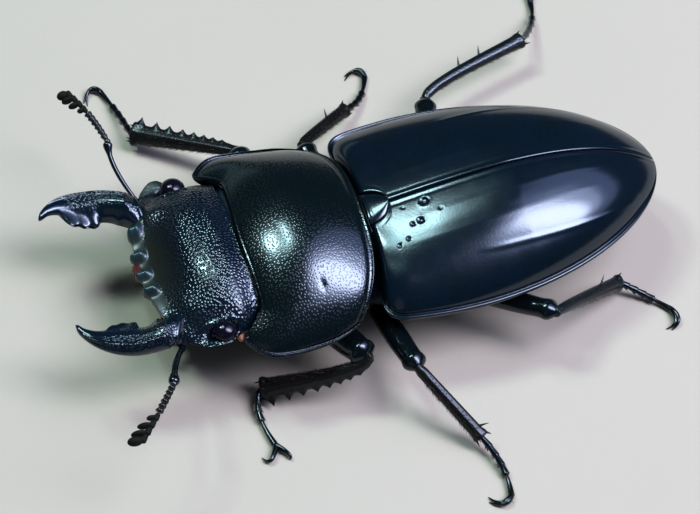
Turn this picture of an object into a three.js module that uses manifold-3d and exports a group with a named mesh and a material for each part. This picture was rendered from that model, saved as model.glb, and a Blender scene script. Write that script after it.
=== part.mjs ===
// A stag beetle, a short-jawed male, standing on its six feet. Life size, in millimetres, +Z up.
//
// Everything is drawn in the beetle's own frame: x to its left, -y to its head, z up, with the origin
// in the middle of the base of the wing cases, level with their side margin. The last lines stand the
// finished animal on the floor, with the middle of its bounding box over the origin.

import * as THREE from "three";
import { mergeVertices } from "three/addons/utils/BufferGeometryUtils.js";
import Module from "manifold-3d";

const wasm = await Module();
wasm.setup();

// ---------------------------------------------------------------- driving dimensions

const FLOOR = -6; // floor level under the side margin of the wing cases
const GAP = 0.3; // clear space between two pieces that fit into each other
const SEAM = 0.1; // clear space along the seams that plain arithmetic keeps

const ELYTRA = { length: 21.6, halfWidth: 8.35, crown: 3.7, corner: 1.6, rim: 0.36, wall: 0.5, fold: 0.85 };
const PRONOTUM = {
  halfWidth: 8.57, front: -7.95, hind: 0.45, hindBelow: -2.0, corner: 1.6, hindBend: 2.4,
  crown: 3.33, rim: 0.3, keel: 2.7,
};
const SCUTELLUM = { halfWidth: 1.3, length: 1.55 };
const TRUNK = { waist: 7.3, end: 20.4, depth: 3.2 };
const HEAD = { back: -8.3, front: -14.9, halfWidth: 6.2, crown: 2.45, keel: 2.3, shear: 0.045 };
const EYE = { centre: [5.9, -10.9, 0.45], radii: [0.85, 0.88, 0.72], shift: [0, -0.2] };
const CANTHUS = { centre: [5.5, -11.7, 0.35], radii: [1.65, 1.7, 0.4], shift: [-0.2, -0.2] };
const LABRUM = { x: -0.5, halfWidth: 0.65, length: 0.35 };
const MANDIBLE = {
  base: [-14.0, 0.55], length: 6.55, rise: 0.6, depth: 0.42,
  left: { root: 5.95, open: 24.5, blade: 0.42, bladeEnd: 0.72, basalTooth: 0.45 },
  right: { root: 6.15, open: 6, blade: 0.85, bladeEnd: 0.79, basalTooth: 0.1 },
};
const ANTENNA = {
  left: {
    base: [6.0, -13.55, -0.3], bend: [7.6, -14.5, 0.85], elbow: [9.7, -14.95, 1.7],
    sway: [11.5, -16.15, 2.05], tip: [13.6, -18.05, 2.0], reach: [-0.3, -0.95, 0], plate: 1.0,
  },
  right: {
    base: [-6.1, -13.55, -0.25], bend: [-8.6, -15.0, 1.3], elbow: [-10.15, -14.65, 2.0],
    sway: [-12.7, -15.2, 2.3], tip: [-14.8, -16.5, 2.4], reach: [0.45, -0.9, 0], plate: 0.8,
  },
};

// Each leg: hip, knee and ankle; the bend and the end of its foot, seen from above; the way the outer edge
// of the lower leg faces, the bow of that leg, and where its spines stand, as shares of its length; the way
// its claws point, in degrees from +x towards +y, and how far apart their points are.
const POSE = {
  front_left: {
    hip: [4.3, -4.0, -2.75], knee: [9.2, -1.75, -1.5], ankle: [7.7, -8.7, -4.9], bend: [8.6, -9.7],
    toe: [11.8, -8.75], outer: [0.84, 0.12, -0.53], bow: 0.45, spines: [], claw: -20, spread: 0.9,
  },
  front_right: {
    hip: [-4.3, -4.0, -2.7], knee: [-10.75, -5.7, -3.0], ankle: [-15.4, -12.05, -4.7], bend: [-18.5, -12.4],
    toe: [-20.7, -13.3], outer: [-1, -0.35, 0.3], bow: 0, spines: [], claw: 306, spread: 0.2,
  },
  middle_left: {
    hip: [4.2, 0.1, -2.9], knee: [11.0, 1.2, -1.4], ankle: [15.3, 4.4, -4.8], bend: [17.55, 5.65],
    toe: [19.65, 5.1], outer: [0.1, 1, 0.3], bow: 0, spines: [0.88], claw: 257, spread: 0.2,
  },
  middle_right: {
    hip: [-4.2, 0.1, -2.9], knee: [-10.0, -0.85, -3.1], ankle: [-13.45, 3.4, -4.7], bend: [-14.5, 5.15],
    toe: [-16.85, 5.85], outer: [-1, 0.25, 0.3], bow: 0.1, spines: [0.62], claw: 259, spread: 0.2,
  },
  hind_left: {
    hip: [4.7, 6.2, -3.0], knee: [9.5, 11.4, -1.0], ankle: [6.2, 17.35, -4.6], bend: [7.1, 19.3],
    toe: [8.7, 20.5], outer: [-0.5, 0, 0.9], bow: 0.1, spines: [0.69], claw: 331, spread: 0.2,
  },
  hind_right: {
    hip: [-4.7, 6.2, -3.0], knee: [-11.9, 8.95, -3.5], ankle: [-15.2, 17.35, -3.3], bend: [-18.2, 19.7],
    toe: [-20.3, 19.9], outer: [-1, 0.25, 0.3], bow: 0.45, spines: [0.6, 0.4], claw: 150, spread: 0.3,
  },
};
// Half width and half thickness of each upper leg; half width of each lower leg at the knee and at the
// ankle, with its half thickness; and the rounded joint that each leg turns on under the body.
const LEG = {
  front: {
    femur: [1.0, 1.0], tibia: [0.4, 0.74, 0.45], teeth: 8,
    coxa: { centre: [2.5, -4.0, -2.75], radii: [1.75, 1.15, 1.0] },
  },
  middle: {
    femur: [0.75, 0.8], tibia: [0.36, 0.46, 0.4], teeth: 0,
    coxa: { centre: [2.4, 0.3, -3.0], radii: [1.6, 1.0, 0.8] },
  },
  hind: {
    femur: [0.68, 0.76], tibia: [0.34, 0.52, 0.42], teeth: 0,
    coxa: { centre: [2.6, 6.0, -3.0], radii: [2.0, 0.85, 0.75] },
  },
};
const FOOT = { bead: 0.3, neck: 0.25, lastShare: 0.38, claw: 1.7, level: 0.25 };

// ---------------------------------------------------------------- materials

const cuticle = (color, roughness) => new THREE.MeshStandardMaterial({ color, roughness, metalness: 0 });
const MATERIAL = {
  elytra: cuticle(0x0b0c1e, 0.32),
  body: cuticle(0x0a0f12, 0.35),
  jaw: cuticle(0x090a1c, 0.2),
  leg: cuticle(0x0a0a10, 0.28),
  eye: cuticle(0x050607, 0.12),
  feeler: cuticle(0x14130e, 0.5),
  club: cuticle(0x3a3528, 0.8),
  mouth: cuticle(0x8a3410, 0.55),
};

// ---------------------------------------------------------------- small tools

const vec = (p) => new THREE.Vector3(...p);
const step = THREE.MathUtils.smoothstep; // (value, low, high)
const lerp = THREE.MathUtils.lerp;
const range = (count) => Array.from({ length: count + 1 }, (_, i) => i / count);

// A closed solid from points and triangles, turned so that its faces point out.
function closedSolid(points, triangles) {
  const volume = triangles.reduce((sum, [a, b, c]) => {
    const cross = new THREE.Vector3().crossVectors(points[b], points[c]);
    return sum + points[a].dot(cross);
  }, 0);
  const index = volume < 0 ? triangles.map(([a, b, c]) => [a, c, b]) : triangles;
  const geometry = new THREE.BufferGeometry().setFromPoints(points);
  geometry.setIndex(index.flat());
  geometry.computeVertexNormals();
  return geometry;
}

// Skins a row of rings, each a loop of as many points, and closes each end on the middle of its ring.
function skin(rings, start = middle(rings[0]), end = middle(rings.at(-1))) {
  const sides = rings[0].length;
  const points = [start, ...rings.flat(), end];
  const at = (ring, side) => 1 + ring * sides + (side % sides);
  const triangles = [];
  for (let side = 0; side < sides; side++) {
    triangles.push([0, at(0, side), at(0, side + 1)]);
    triangles.push([points.length - 1, at(rings.length - 1, side + 1), at(rings.length - 1, side)]);
    for (let ring = 0; ring < rings.length - 1; ring++) {
      const [a, b] = [at(ring, side), at(ring, side + 1)];
      const [c, d] = [at(ring + 1, side), at(ring + 1, side + 1)];
      triangles.push([a, c, b], [b, c, d]);
    }
  }
  return closedSolid(points, triangles);
}

function middle(ring) {
  return ring.reduce((sum, p) => sum.add(p), new THREE.Vector3()).divideScalar(ring.length);
}

const mirrored = (rings) => rings.map((ring) => ring.map((p) => new THREE.Vector3(-p.x, p.y, p.z)));

// Booleans: join several closed meshes, or cut tools out of one.
function solidOf(geometry) {
  const bare = geometry.clone();
  bare.deleteAttribute("normal");
  bare.deleteAttribute("uv");
  const merged = mergeVertices(bare, 1e-5);
  const vertProperties = new Float32Array(merged.attributes.position.array);
  const triVerts = new Uint32Array(merged.index.array);
  return new wasm.Manifold(new wasm.Mesh({ numProp: 3, vertProperties, triVerts }));
}

function geometryOf(solid) {
  const { vertProperties, triVerts } = solid.getMesh();
  const geometry = new THREE.BufferGeometry();
  geometry.setAttribute("position", new THREE.BufferAttribute(vertProperties, 3));
  geometry.setIndex(new THREE.BufferAttribute(triVerts, 1));
  geometry.computeVertexNormals();
  return geometry;
}

function join(first, ...rest) {
  return geometryOf(rest.reduce((sum, piece) => sum.add(solidOf(piece)), solidOf(first)));
}

function cut(piece, ...tools) {
  return geometryOf(tools.reduce((left, tool) => left.subtract(solidOf(tool)), solidOf(piece)));
}

function ellipsoid({ centre, radii }, grow = 0, [around, down] = [12, 8]) {
  const ball = new THREE.SphereGeometry(1, around, down);
  ball.scale(...radii.map((r) => r + grow));
  return ball.translate(...centre);
}

function onSide({ centre: [x, y, z], radii }, sign) {
  return { centre: [sign * x, y, z], radii };
}

// The same on the head, which is turned a little: its right side stands further forward than its left
// side, and shift moves the left and the right one of a pair along x.
function onHead({ centre: [x, y, z], radii, shift }, sign) {
  const out = sign * x + (sign > 0 ? shift[0] : shift[1]);
  return { centre: [out, y + HEAD.shear * out, z], radii };
}

// Three unit directions at a limb: along it, across it towards "broad", and through it.
function limbAxes(from, to, broad) {
  const along = to.clone().sub(from).normalize();
  const across = broad.clone().addScaledVector(along, -broad.dot(along)).normalize();
  return { along, across, through: new THREE.Vector3().crossVectors(along, across) };
}

// A limb: ovals strung on a curve. section(t) gives the half width across, the half thickness and, where
// the edge on the "broad" side carries teeth, how far the edge stands out there.
function limb(curve, broad, section, stations, sides) {
  const rings = stations.map((t) => {
    const tangent = curve.getTangent(t);
    const { across, through } = limbAxes(new THREE.Vector3(), tangent, broad);
    const [half, thick, edge = 0] = section(t);
    return range(sides).slice(0, sides).map((turn) => {
      const [c, s] = [Math.cos(2 * Math.PI * turn), Math.sin(2 * Math.PI * turn)];
      const out = half * c + edge * Math.max(c, 0) ** 3;
      return curve.getPoint(t).addScaledVector(across, out).addScaledVector(through, thick * s);
    });
  });
  return skin(rings);
}

// A thin horn from its root to its point.
function thorn(root, point, radius, sides = 5) {
  const { across, through } = limbAxes(root, point, new THREE.Vector3(0.3, 0.2, 1));
  const ring = range(sides).slice(0, sides).map((turn) => {
    const [c, s] = [Math.cos(2 * Math.PI * turn), Math.sin(2 * Math.PI * turn)];
    return root.clone().addScaledVector(across, radius * c).addScaledVector(through, radius * s);
  });
  return skin([ring], middle([ring[0], ring[2]]), point);
}

// ---------------------------------------------------------------- wing cases

// Half width of the two wing cases together: round shoulders, parallel sides, a long rounded apex.
function elytraHalfWidth(y) {
  const u = y / ELYTRA.length;
  const shoulder = 1 - 0.13 * Math.max(0, (0.25 - u) / 0.25) ** 2;
  const apex = Math.max(0, 1 - Math.max(0, (u - 0.28) / 0.72) ** 1.9) ** 0.54;
  const inside = THREE.MathUtils.clamp(ELYTRA.corner - (y - PRONOTUM.hind - GAP), 0, ELYTRA.corner);
  const corner = ELYTRA.corner - Math.sqrt(ELYTRA.corner ** 2 - inside ** 2);
  return ELYTRA.halfWidth * shoulder * apex - corner;
}

function elytraCrown(y) {
  const u = y / ELYTRA.length;
  const apex = Math.max(0, 1 - Math.max(0, (u - 0.5) / 0.5) ** 2.6) ** 0.9;
  return ELYTRA.crown * apex * (1 - 0.48 * Math.max(0, (0.5 - u) / 0.5) ** 1.3);
}

const dome = (x, halfWidth, height) => height * Math.max(0, 1 - Math.abs(x / halfWidth) ** 2.3) ** 0.63;

// One section of the left wing case: over the dome to the upturned rim, round the rim, in along the
// folded edge below it, and back inside the dome to the suture.
function elytronSection(y) {
  const width = elytraHalfWidth(y);
  const height = elytraCrown(y);
  const k = Math.min(1, width / 4);
  const suture = SEAM / 2 + scutellumHalfWidth(y + SEAM);
  const foot = width - ELYTRA.rim * k;
  const wall = ELYTRA.wall * k;
  const base = (x) => 0.6 * (1 - step(y, 0, 5)) * (hindMargin(x / pronotumHalfWidth(1)) - PRONOTUM.hind);
  const place = (x, z) => new THREE.Vector3(x, y + base(x), z);
  const over = range(8).map((t) => lerp(suture, foot, Math.sin(t * Math.PI / 2)));
  const inside = range(4).map((t) => lerp(foot - wall, suture, 1 - Math.cos(t * Math.PI / 2)));
  return [
    ...over.map((x) => place(x, dome(x, foot, height))),
    place(width - 0.12 * k, 0.16 * k),
    place(width, 0),
    place(width - 0.25 * k, -0.4 * k),
    place(width - ELYTRA.fold * k, -ELYTRA.fold * k),
    place(width - (ELYTRA.fold + 0.2) * k, -0.5 * k),
    ...inside.map((x) => place(x, dome(x, foot - wall + 0.02, Math.max(0.02, height - wall)))),
  ];
}

// Sections closer together beside the scutellum and at the apex.
function elytronRings() {
  const end = PRONOTUM.hind + SCUTELLUM.length + 0.35;
  const beside = range(3).map((t) => lerp(PRONOTUM.hind + GAP, end, t ** 1.5));
  const behind = range(9).slice(1, 9).map((t) => lerp(end, ELYTRA.length, Math.sin(t * Math.PI / 2)));
  return [...beside, ...behind].map(elytronSection);
}

function elytron(side) {
  const rings = elytronRings();
  const apex = new THREE.Vector3(SEAM / 2, ELYTRA.length, 0);
  if (side === "left") return skin(rings, undefined, apex);
  return skin(mirrored(rings), undefined, apex.setX(-apex.x));
}

// The small shield between the bases of the wing cases.
function scutellumHalfWidth(y) {
  const u = Math.max(0, y - PRONOTUM.hind) / (SCUTELLUM.length + 0.35);
  return u < 1 ? (SCUTELLUM.halfWidth + SEAM) * Math.sqrt(1 - u * u) : 0;
}

function scutellum() {
  const outline = [[-1, 0.1], [-0.5, 0.02], [0.5, 0.02], [1, 0.1], [0.8, 0.5], [-0.8, 0.5]];
  const rings = range(5).slice(0, 5).map((t) => {
    const y = PRONOTUM.hind + GAP + SCUTELLUM.length * Math.sin(t * Math.PI / 2) * 0.93;
    const u = (y - PRONOTUM.hind) / (SCUTELLUM.length + 0.2);
    const half = Math.max(0.1, SCUTELLUM.halfWidth * Math.sqrt(Math.max(0, 1 - u * u)) - SEAM);
    const top = elytraCrown(y) - 0.04;
    return outline.map(([x, drop]) => new THREE.Vector3(x * half, y, top - drop));
  });
  return skin(rings);
}

// ---------------------------------------------------------------- pronotum

// Front and hind margins of the pronotum, by the share u of the half width: both bend forward at the
// angles.
function frontMargin(u) {
  const middleLobe = 0.2 * Math.exp(-((u / 0.35) ** 2));
  return PRONOTUM.front - middleLobe - PRONOTUM.corner * step(Math.abs(u), 0.68, 1) ** 1.3;
}

const hindMargin = (u) => PRONOTUM.hind - PRONOTUM.hindBend * Math.abs(u) ** 3.6;

// Half width from the front angles (v = 0) to the hind angles (v = 1), which are cut off obliquely.
function pronotumHalfWidth(v) {
  const front = 1.5 * Math.max(0, (0.33 - v) / 0.33) ** 2.6;
  const sides = 0.28 * Math.max(0, (v - 0.4) / 0.35) ** 1.5;
  const oblique = 0.35 * Math.max(0, (v - 0.75) / 0.25) ** 1.6;
  return PRONOTUM.halfWidth - front - sides - oblique;
}

function pronotumCrown(v) {
  const drop = 1.1 * Math.max(0, (0.48 - v) / 0.48) ** 2 + 0.98 * Math.max(0, (v - 0.48) / 0.52) ** 2;
  return PRONOTUM.crown - drop;
}

function pronotumPoint(u, v, below) {
  const half = pronotumHalfWidth(v);
  const y = lerp(frontMargin(u), below ? PRONOTUM.hindBelow : hindMargin(u), v);
  const margin = 0.33 - 0.37 * Math.sin(Math.PI * v) ** 0.8 - 0.47 * v;
  const foot = 1 - PRONOTUM.rim / half;
  const over = Math.max(0, 1 - Math.abs(u / foot) ** 2) ** 0.78;
  const bead = 0.13 * step(Math.abs(u), foot, 0.985);
  const keel = 0.3 + 0.5 * (1 - u * u) + (PRONOTUM.keel - 0.5) * (1 - step(Math.abs(u), 0.34, 0.66));
  const z = below ? margin - keel : margin + bead + (pronotumCrown(v) - margin) * over;
  return new THREE.Vector3(u * half, y, z);
}

function pronotumRing(v) {
  const across = [-1, -0.98, -0.96, -0.88, -0.72, -0.46, -0.16, 0.16, 0.46, 0.72, 0.88, 0.96, 0.98, 1];
  const under = [0.97, 0.8, 0.64, 0.5, 0.34, 0, -0.34, -0.5, -0.64, -0.8, -0.97];
  const above = across.map((u) => pronotumPoint(u, v, false));
  return [...above, ...under.map((u) => pronotumPoint(u, v, true))];
}

// The ring drawn in towards the middle and moved along y, for the sockets in the two ends.
function inset(ring, scale, shift) {
  const centre = middle(ring).setZ(0.2);
  return ring.map((p) => {
    const q = p.clone().sub(centre).multiplyScalar(scale).add(centre);
    return q.setY(lerp(centre.y, p.y, 0.3) + shift);
  });
}

function pronotum() {
  const rings = [0, 0.05, 0.13, 0.26, 0.45, 0.65, 0.8, 0.92, 1].map(pronotumRing);
  const socket = [inset(rings[0], 0.86, 1.9), inset(rings[0], 0.93, 0.7)];
  return cut(skin([...socket, ...rings]), ...coxaTools("front"));
}

// ---------------------------------------------------------------- thorax and abdomen, under the wing cases

// A trunk section that stays clear of the wing cases above it: hollow at the flanks, deep in the middle.
function trunkRing(y, depth, top = Infinity, yBelow = y) {
  const half = elytraHalfWidth(y) - 2;
  const height = Math.max(0.1, elytraCrown(y) - ELYTRA.wall - 0.25);
  const flank = 0.8 * (1 - 1 / half ** 2);
  const keel = depth - 0.35 - flank;
  const belly = (u) => -0.35 - flank * (1 - u * u) - keel * (1 - step(Math.abs(u), 0.36, 0.86));
  const over = range(6).map((t) => lerp(-half, half, t));
  const under = [0.86, 0.66, 0.5, 0.34, 0, -0.34, -0.5, -0.66, -0.86];
  return [
    ...over.map((x) => new THREE.Vector3(x, y, Math.min(top, dome(x, half, height) - 0.1))),
    ...under.map((u) => new THREE.Vector3(u * half, yBelow, belly(u))),
  ];
}

// The hind two thirds of the thorax: low in front, where it reaches below the hind edge of the pronotum.
function thorax() {
  const rings = [
    trunkRing(PRONOTUM.hind + GAP, TRUNK.depth - 0.6, 1.5, PRONOTUM.hindBelow + GAP),
    trunkRing(1.2, TRUNK.depth, 2.1, 0.2),
    ...[2.6, 4.2, 5.6, TRUNK.waist].map((y) => trunkRing(y, TRUNK.depth)),
  ];
  return cut(skin(rings), ...coxaTools("middle"), ...coxaTools("hind"));
}

// Five belly plates, each stepping in a little where the next begins.
function abdomen() {
  const plates = 5;
  const rings = [];
  for (let plate = 0; plate < plates; plate++) {
    for (const t of [0, 0.85]) {
      const y = lerp(TRUNK.waist + SEAM, TRUNK.end, ((plate + t) / plates) ** 0.94);
      const taper = 1 - 0.62 * ((y - TRUNK.waist) / (TRUNK.end - TRUNK.waist)) ** 1.7;
      rings.push(trunkRing(y, TRUNK.depth * taper - (t === 0 ? 0.14 : 0)));
    }
  }
  return skin(rings, undefined, new THREE.Vector3(0, TRUNK.end, -0.6));
}

// ---------------------------------------------------------------- head

function headPoint(u, v, below) {
  const front = HEAD.front + 1.3 * u * u + (below ? 0.5 : 0);
  const y = lerp(HEAD.back, front, v);
  const neck = 1 - step(v, 0, 0.28);
  const half = HEAD.halfWidth - lerp(0.2, 0.75, step(u, -0.5, 0.5)) * neck - 0.35 * step(v, 0.88, 1);
  const crown = HEAD.crown * (1 - 0.62 * step(v, 0.3, 1.05)) - 0.32 * (1 - step(v, 0, 0.2));
  const keel = HEAD.keel * (1 - 0.45 * step(v, 0.6, 1)) - 0.6 * (1 - step(v, 0, 0.26));
  const x = u * half;
  const hollow = 0.6 * Math.exp(-(((x + 0.5) / 3.3) ** 2) - ((v - 0.8) / 0.14) ** 2);
  const over = (1 - Math.abs(u) ** 2.4) ** 0.6;
  const under = (1 - Math.abs(u) ** 2.6) ** 0.75;
  const z = below ? 0.1 - (keel + 0.1) * under : 0.1 + (crown - 0.1) * over - hollow;
  return new THREE.Vector3(x, y + HEAD.shear * x, z);
}

function headRing(v) {
  const across = [-1, -0.96, -0.84, -0.65, -0.42, -0.2, 0, 0.2, 0.42, 0.65, 0.84, 0.96, 1];
  const under = [0.88, 0.6, 0.2, -0.2, -0.6, -0.88];
  const above = across.map((u) => headPoint(u, v, false));
  return [...above, ...under.map((u) => headPoint(u, v, true))];
}

// The condyle, the rounded root on which a jaw turns.
const condyle = (sign) => ({ centre: [sign * 4.65, -13.75, 0.2], radii: [1.5, 0.95, 0.9] });
const antennaSocket = (sign) => ({ centre: [sign * 5.95, -13.4, -0.25], radii: [0.45, 0.45, 0.45] });

function head() {
  const core = skin([0, 0.1, 0.22, 0.4, 0.58, 0.72, 0.86, 0.95, 1].map(headRing));
  const lobes = [1, -1].map((sign) => ellipsoid(onHead(CANTHUS, sign), 0, [10, 4]));
  const whole = join(core, ...lobes);
  const sockets = [1, -1].flatMap((sign) => [
    ellipsoid(onHead(EYE, sign), GAP / 2, [10, 6]),
    ellipsoid(condyle(sign), GAP, [8, 5]),
    ellipsoid(antennaSocket(sign), GAP / 2, [6, 4]),
  ]);
  return cut(whole, ...sockets);
}

const eye = (sign) => ellipsoid(onHead(EYE, sign), 0, [10, 6]);

// The upper lip: a small curved plate in front of the head, over the mouth brush.
function labrum() {
  const rings = range(3).map((t) => {
    const y = HEAD.front - GAP / 2 - LABRUM.length * t;
    const half = LABRUM.halfWidth * (1 - 0.4 * t);
    return range(8).slice(0, 8).map((turn) => {
      const [c, s] = [Math.cos(2 * Math.PI * turn), Math.sin(2 * Math.PI * turn)];
      const arch = 0.2 * (half * c) ** 2 * (1 - t);
      return new THREE.Vector3(LABRUM.x + half * c, y + arch, 0.05 - 0.15 * t + (0.42 - 0.12 * t) * s);
    });
  });
  return skin(rings);
}

// A feeler of the mouth: four beads in a row, bent outwards, under the jaws.
function palp(sign) {
  const route = new THREE.QuadraticBezierCurve3(
    vec([sign * 1.5, -13.2, -2.2]), vec([sign * 1.9, -14.1, -2.6]), vec([sign * 2.9, -14.7, -2.5]));
  const section = (t) => {
    const bead = 0.2 + 0.1 * Math.abs(Math.sin(Math.PI * 3 * t));
    return [bead + 0.08 * t, bead + 0.05 * t];
  };
  return limb(route, new THREE.Vector3(0, 0, 1), section, range(12).slice(1, 12), 5);
}

// ---------------------------------------------------------------- jaws

// A jaw lies along a chord from its root to its point, bowed outwards. By the share t of that chord:
// outer edge, inner edge of the shaft, and how far the toothed blade stands in from it.
const jawOuter = (t) => 1.5 * Math.sin(Math.PI * t ** 1.2) ** 0.6 + 0.12 * t + 0.1 * (1 - step(t, 0, 0.2));
const jawInner = (t) => {
  const root = -0.87 - 2.3 * (1 - step(t, -0.15, 0.4));
  return root + 1.15 * step(t, 0.42, 0.85) - 0.25 * step(t, 0.88, 1);
};

function jawBlade(t, { blade, bladeEnd, basalTooth }) {
  const depth = lerp(0.36, blade, THREE.MathUtils.clamp((t - 0.4) / 0.3, 0, 1));
  const plate = depth * step(t, 0.375, 0.43) * (1 - step(t, bladeEnd - 0.08, bladeEnd));
  return plate + basalTooth * Math.exp(-(((t - 0.23) / 0.035) ** 2));
}

function mandible(side) {
  const jaw = MANDIBLE[side];
  const sign = side === "left" ? 1 : -1;
  const turn = THREE.MathUtils.degToRad(jaw.open);
  const along = new THREE.Vector3(-sign * Math.sin(turn), -Math.cos(turn), 0);
  const outward = new THREE.Vector3(sign * Math.cos(turn), -Math.sin(turn), 0);
  const root = vec([sign * jaw.root, ...MANDIBLE.base]);
  const bladeStations = range(5).map((t) => lerp(0.38, jaw.bladeEnd, t));
  const stations = [0, 0.08, 0.16, 0.23, 0.3, ...bladeStations, 0.88, 0.95];
  const rings = stations.map((t) => {
    const [outer, inner] = [jawOuter(t), jawInner(t)];
    const [centre, half] = [(outer + inner) / 2, Math.max(0.17, (outer - inner) / 2)];
    const thick = lerp(0.95, 0.26, step(t, -0.1, 1.1)) * (1 - 0.35 * (1 - step(t, 0, 0.12)));
    const lift = MANDIBLE.rise * step(t, 0.2, 1) ** 1.2;
    return range(8).slice(0, 8).map((phase) => {
      const [c, s] = [Math.cos(2 * Math.PI * phase), Math.sin(2 * Math.PI * phase)];
      const inward = Math.max(-c, 0);
      const offset = centre + half * c - jawBlade(t, jaw) * inward ** 3;
      const p = root.clone().addScaledVector(along, t * MANDIBLE.length).addScaledVector(outward, offset);
      return p.setZ(root.z + lift + thick * s - MANDIBLE.depth * inward * (1 - step(t, 0.5, 0.9)));
    });
  });
  const point = root.clone().addScaledVector(along, MANDIBLE.length).addScaledVector(outward, 0.08);
  const shaft = skin(rings, undefined, point.setZ(root.z + MANDIBLE.rise));
  return join(shaft, ellipsoid(condyle(sign), 0, [8, 5]));
}

// ---------------------------------------------------------------- antennae

const up = new THREE.Vector3(0, 0, 1);

function scape(side) {
  const { base, bend, elbow } = ANTENNA[side];
  const route = new THREE.QuadraticBezierCurve3(vec(base), vec(bend), vec(elbow));
  const section = (t) => {
    const r = 0.26 + 0.14 * step(t, 0.6, 0.95) - 0.12 * step(t, 0.93, 1);
    return [r, r];
  };
  return limb(route, up, section, [0.0, 0.15, 0.5, 0.75, 0.92, 0.98], 7);
}

const FUNICLE_SHARE = 0.52; // of the way from elbow to tip; the club takes the rest

function feelerRoute(side) {
  const { elbow, sway, tip } = ANTENNA[side];
  return new THREE.QuadraticBezierCurve3(vec(elbow), vec(sway), vec(tip));
}

function funicle(side) {
  const beads = 6;
  const stations = range(beads * 2).map((t) => lerp(0.07, FUNICLE_SHARE - 0.02, t));
  const section = (t) => {
    const phase = ((t - 0.07) / (FUNICLE_SHARE - 0.09)) * beads;
    const r = 0.25 + 0.04 * Math.abs(Math.sin(Math.PI * phase));
    return [r, r];
  };
  return limb(feelerRoute(side), up, section, stations, 5);
}

// The club: four plates side by side, like the teeth of a comb, reaching to the front and inner side.
function club(side) {
  const plates = 4;
  const { reach, plate } = ANTENNA[side];
  const first = FUNICLE_SHARE + 0.03;
  const plateLength = (t) => plate * (0.35 + 0.5 * Math.sin(Math.PI * 0.75 * (t - first) / (1 - first)));
  const section = (t) => {
    const place = (((t - first) / (1 - first)) * plates) % 1;
    const gap = place < 0.04 || place > 0.8;
    return [gap ? 0.26 : 0.34, gap ? 0.26 : 0.38, gap ? 0.05 : plateLength(t)];
  };
  const starts = range(plates).slice(0, plates);
  const stations = starts.flatMap((t) => [0.01, 0.06, 0.75, 0.85].map((share) => t + share / plates));
  return limb(feelerRoute(side), vec(reach), section, stations.map((t) => lerp(first, 1, t)), 6);
}

// ---------------------------------------------------------------- legs

function coxaTools(pair) {
  return [1, -1].map((sign) => ellipsoid(onSide(LEG[pair].coxa, sign), GAP, [8, 5]));
}

const coxa = (pair, sign) => ellipsoid(onSide(LEG[pair].coxa, sign), 0, [8, 5]);

function femur(pair, side, grow = 0) {
  const { hip, knee } = POSE[`${pair}_${side}`];
  const [half, thick] = LEG[pair].femur.map((size) => size + grow);
  const route = new THREE.LineCurve3(vec(hip), vec(knee));
  const section = (t) => {
    const swell = 0.62 + 0.38 * Math.sin(Math.PI * (0.08 + t * 0.8));
    const end = Math.sqrt(Math.max(0.1, 1 - Math.max(0, (t - 0.88) / 0.15) ** 2));
    const knob = 0.13 * Math.exp(-(((t - 0.92) / 0.07) ** 2));
    return [(half * swell + knob) * end, (thick * swell + knob) * end];
  };
  return limb(route, up, section, [0.06, 0.16, 0.38, 0.68, 0.9, 0.96, 1 + grow / 8], 8);
}

// The lower leg starts a little way off the knee and widens to the ankle.
function tibia(pair, side) {
  const { knee, ankle, outer, bow, spines } = POSE[`${pair}_${side}`];
  const [narrow, wide, thick] = LEG[pair].tibia;
  const teeth = LEG[pair].teeth;
  const edge = vec(outer);
  const { across } = limbAxes(vec(knee), vec(ankle), edge);
  const bend = vec(knee).lerp(vec(ankle), 0.3).addScaledVector(across, 1.9 * bow);
  const route = new THREE.QuadraticBezierCurve3(vec(knee), bend, vec(ankle));
  const section = (t) => {
    const half = lerp(narrow, wide, t ** 1.1);
    return [half, thick * (0.8 + 0.2 * t), teeth ? 0.42 * (0.6 + 0.6 * t) * sawtooth(t, teeth) : 0];
  };
  const plain = [0, 0.12, 0.35, 0.7, 0.98];
  const stations = teeth ? range(teeth * 3).map((t) => lerp(0.04, 0.985, t)) : plain;
  const shaft = limb(route, edge, section, stations, 6);
  return cut(join(shaft, ...tibiaSpines(route, edge, spines, wide)), femur(pair, side, GAP));
}

// Teeth along the outer edge that rise slowly and end sharply, the last one at the ankle the largest.
function sawtooth(t, teeth) {
  const phase = ((t - 0.04) / 0.945) * teeth;
  const place = phase - Math.floor(phase + 1e-6);
  return place < 1e-3 ? (phase > 0.5 ? 1 : 0.1) : place * 0.45;
}

// Two spurs beside the ankle, and single spines on the outer edge.
function tibiaSpines(route, outer, places, wide) {
  const { along, across, through } = limbAxes(route.v0, route.v2, outer);
  const at = (t, a, b) => route.getPoint(t).addScaledVector(across, a).addScaledVector(through, b);
  const beyond = (a, b) => route.v2.clone().addScaledVector(along, a).addScaledVector(across, b);
  return [
    thorn(at(0.93, -0.25, 0.1), beyond(0.4, -0.5), 0.2),
    thorn(at(0.93, 0.2, -0.1), beyond(0.25, 0.6), 0.22),
    ...places.map((t) => thorn(at(t, wide / 2, 0), at(t + 0.05, wide + 0.55, 0), 0.2)),
  ];
}

// A foot runs from the ankle down to the floor and along it. Four short beads and one long last segment.
function footRoute(pair, side) {
  const { knee, ankle, bend, toe } = POSE[`${pair}_${side}`];
  const end = vec([...toe, FLOOR + FOOT.level]);
  const start = vec(ankle).addScaledVector(vec(ankle).sub(vec(knee)).normalize(), 0.3).lerp(end, 0.04);
  return new THREE.QuadraticBezierCurve3(start, vec([...bend, FLOOR + 0.3]), end);
}

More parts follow.
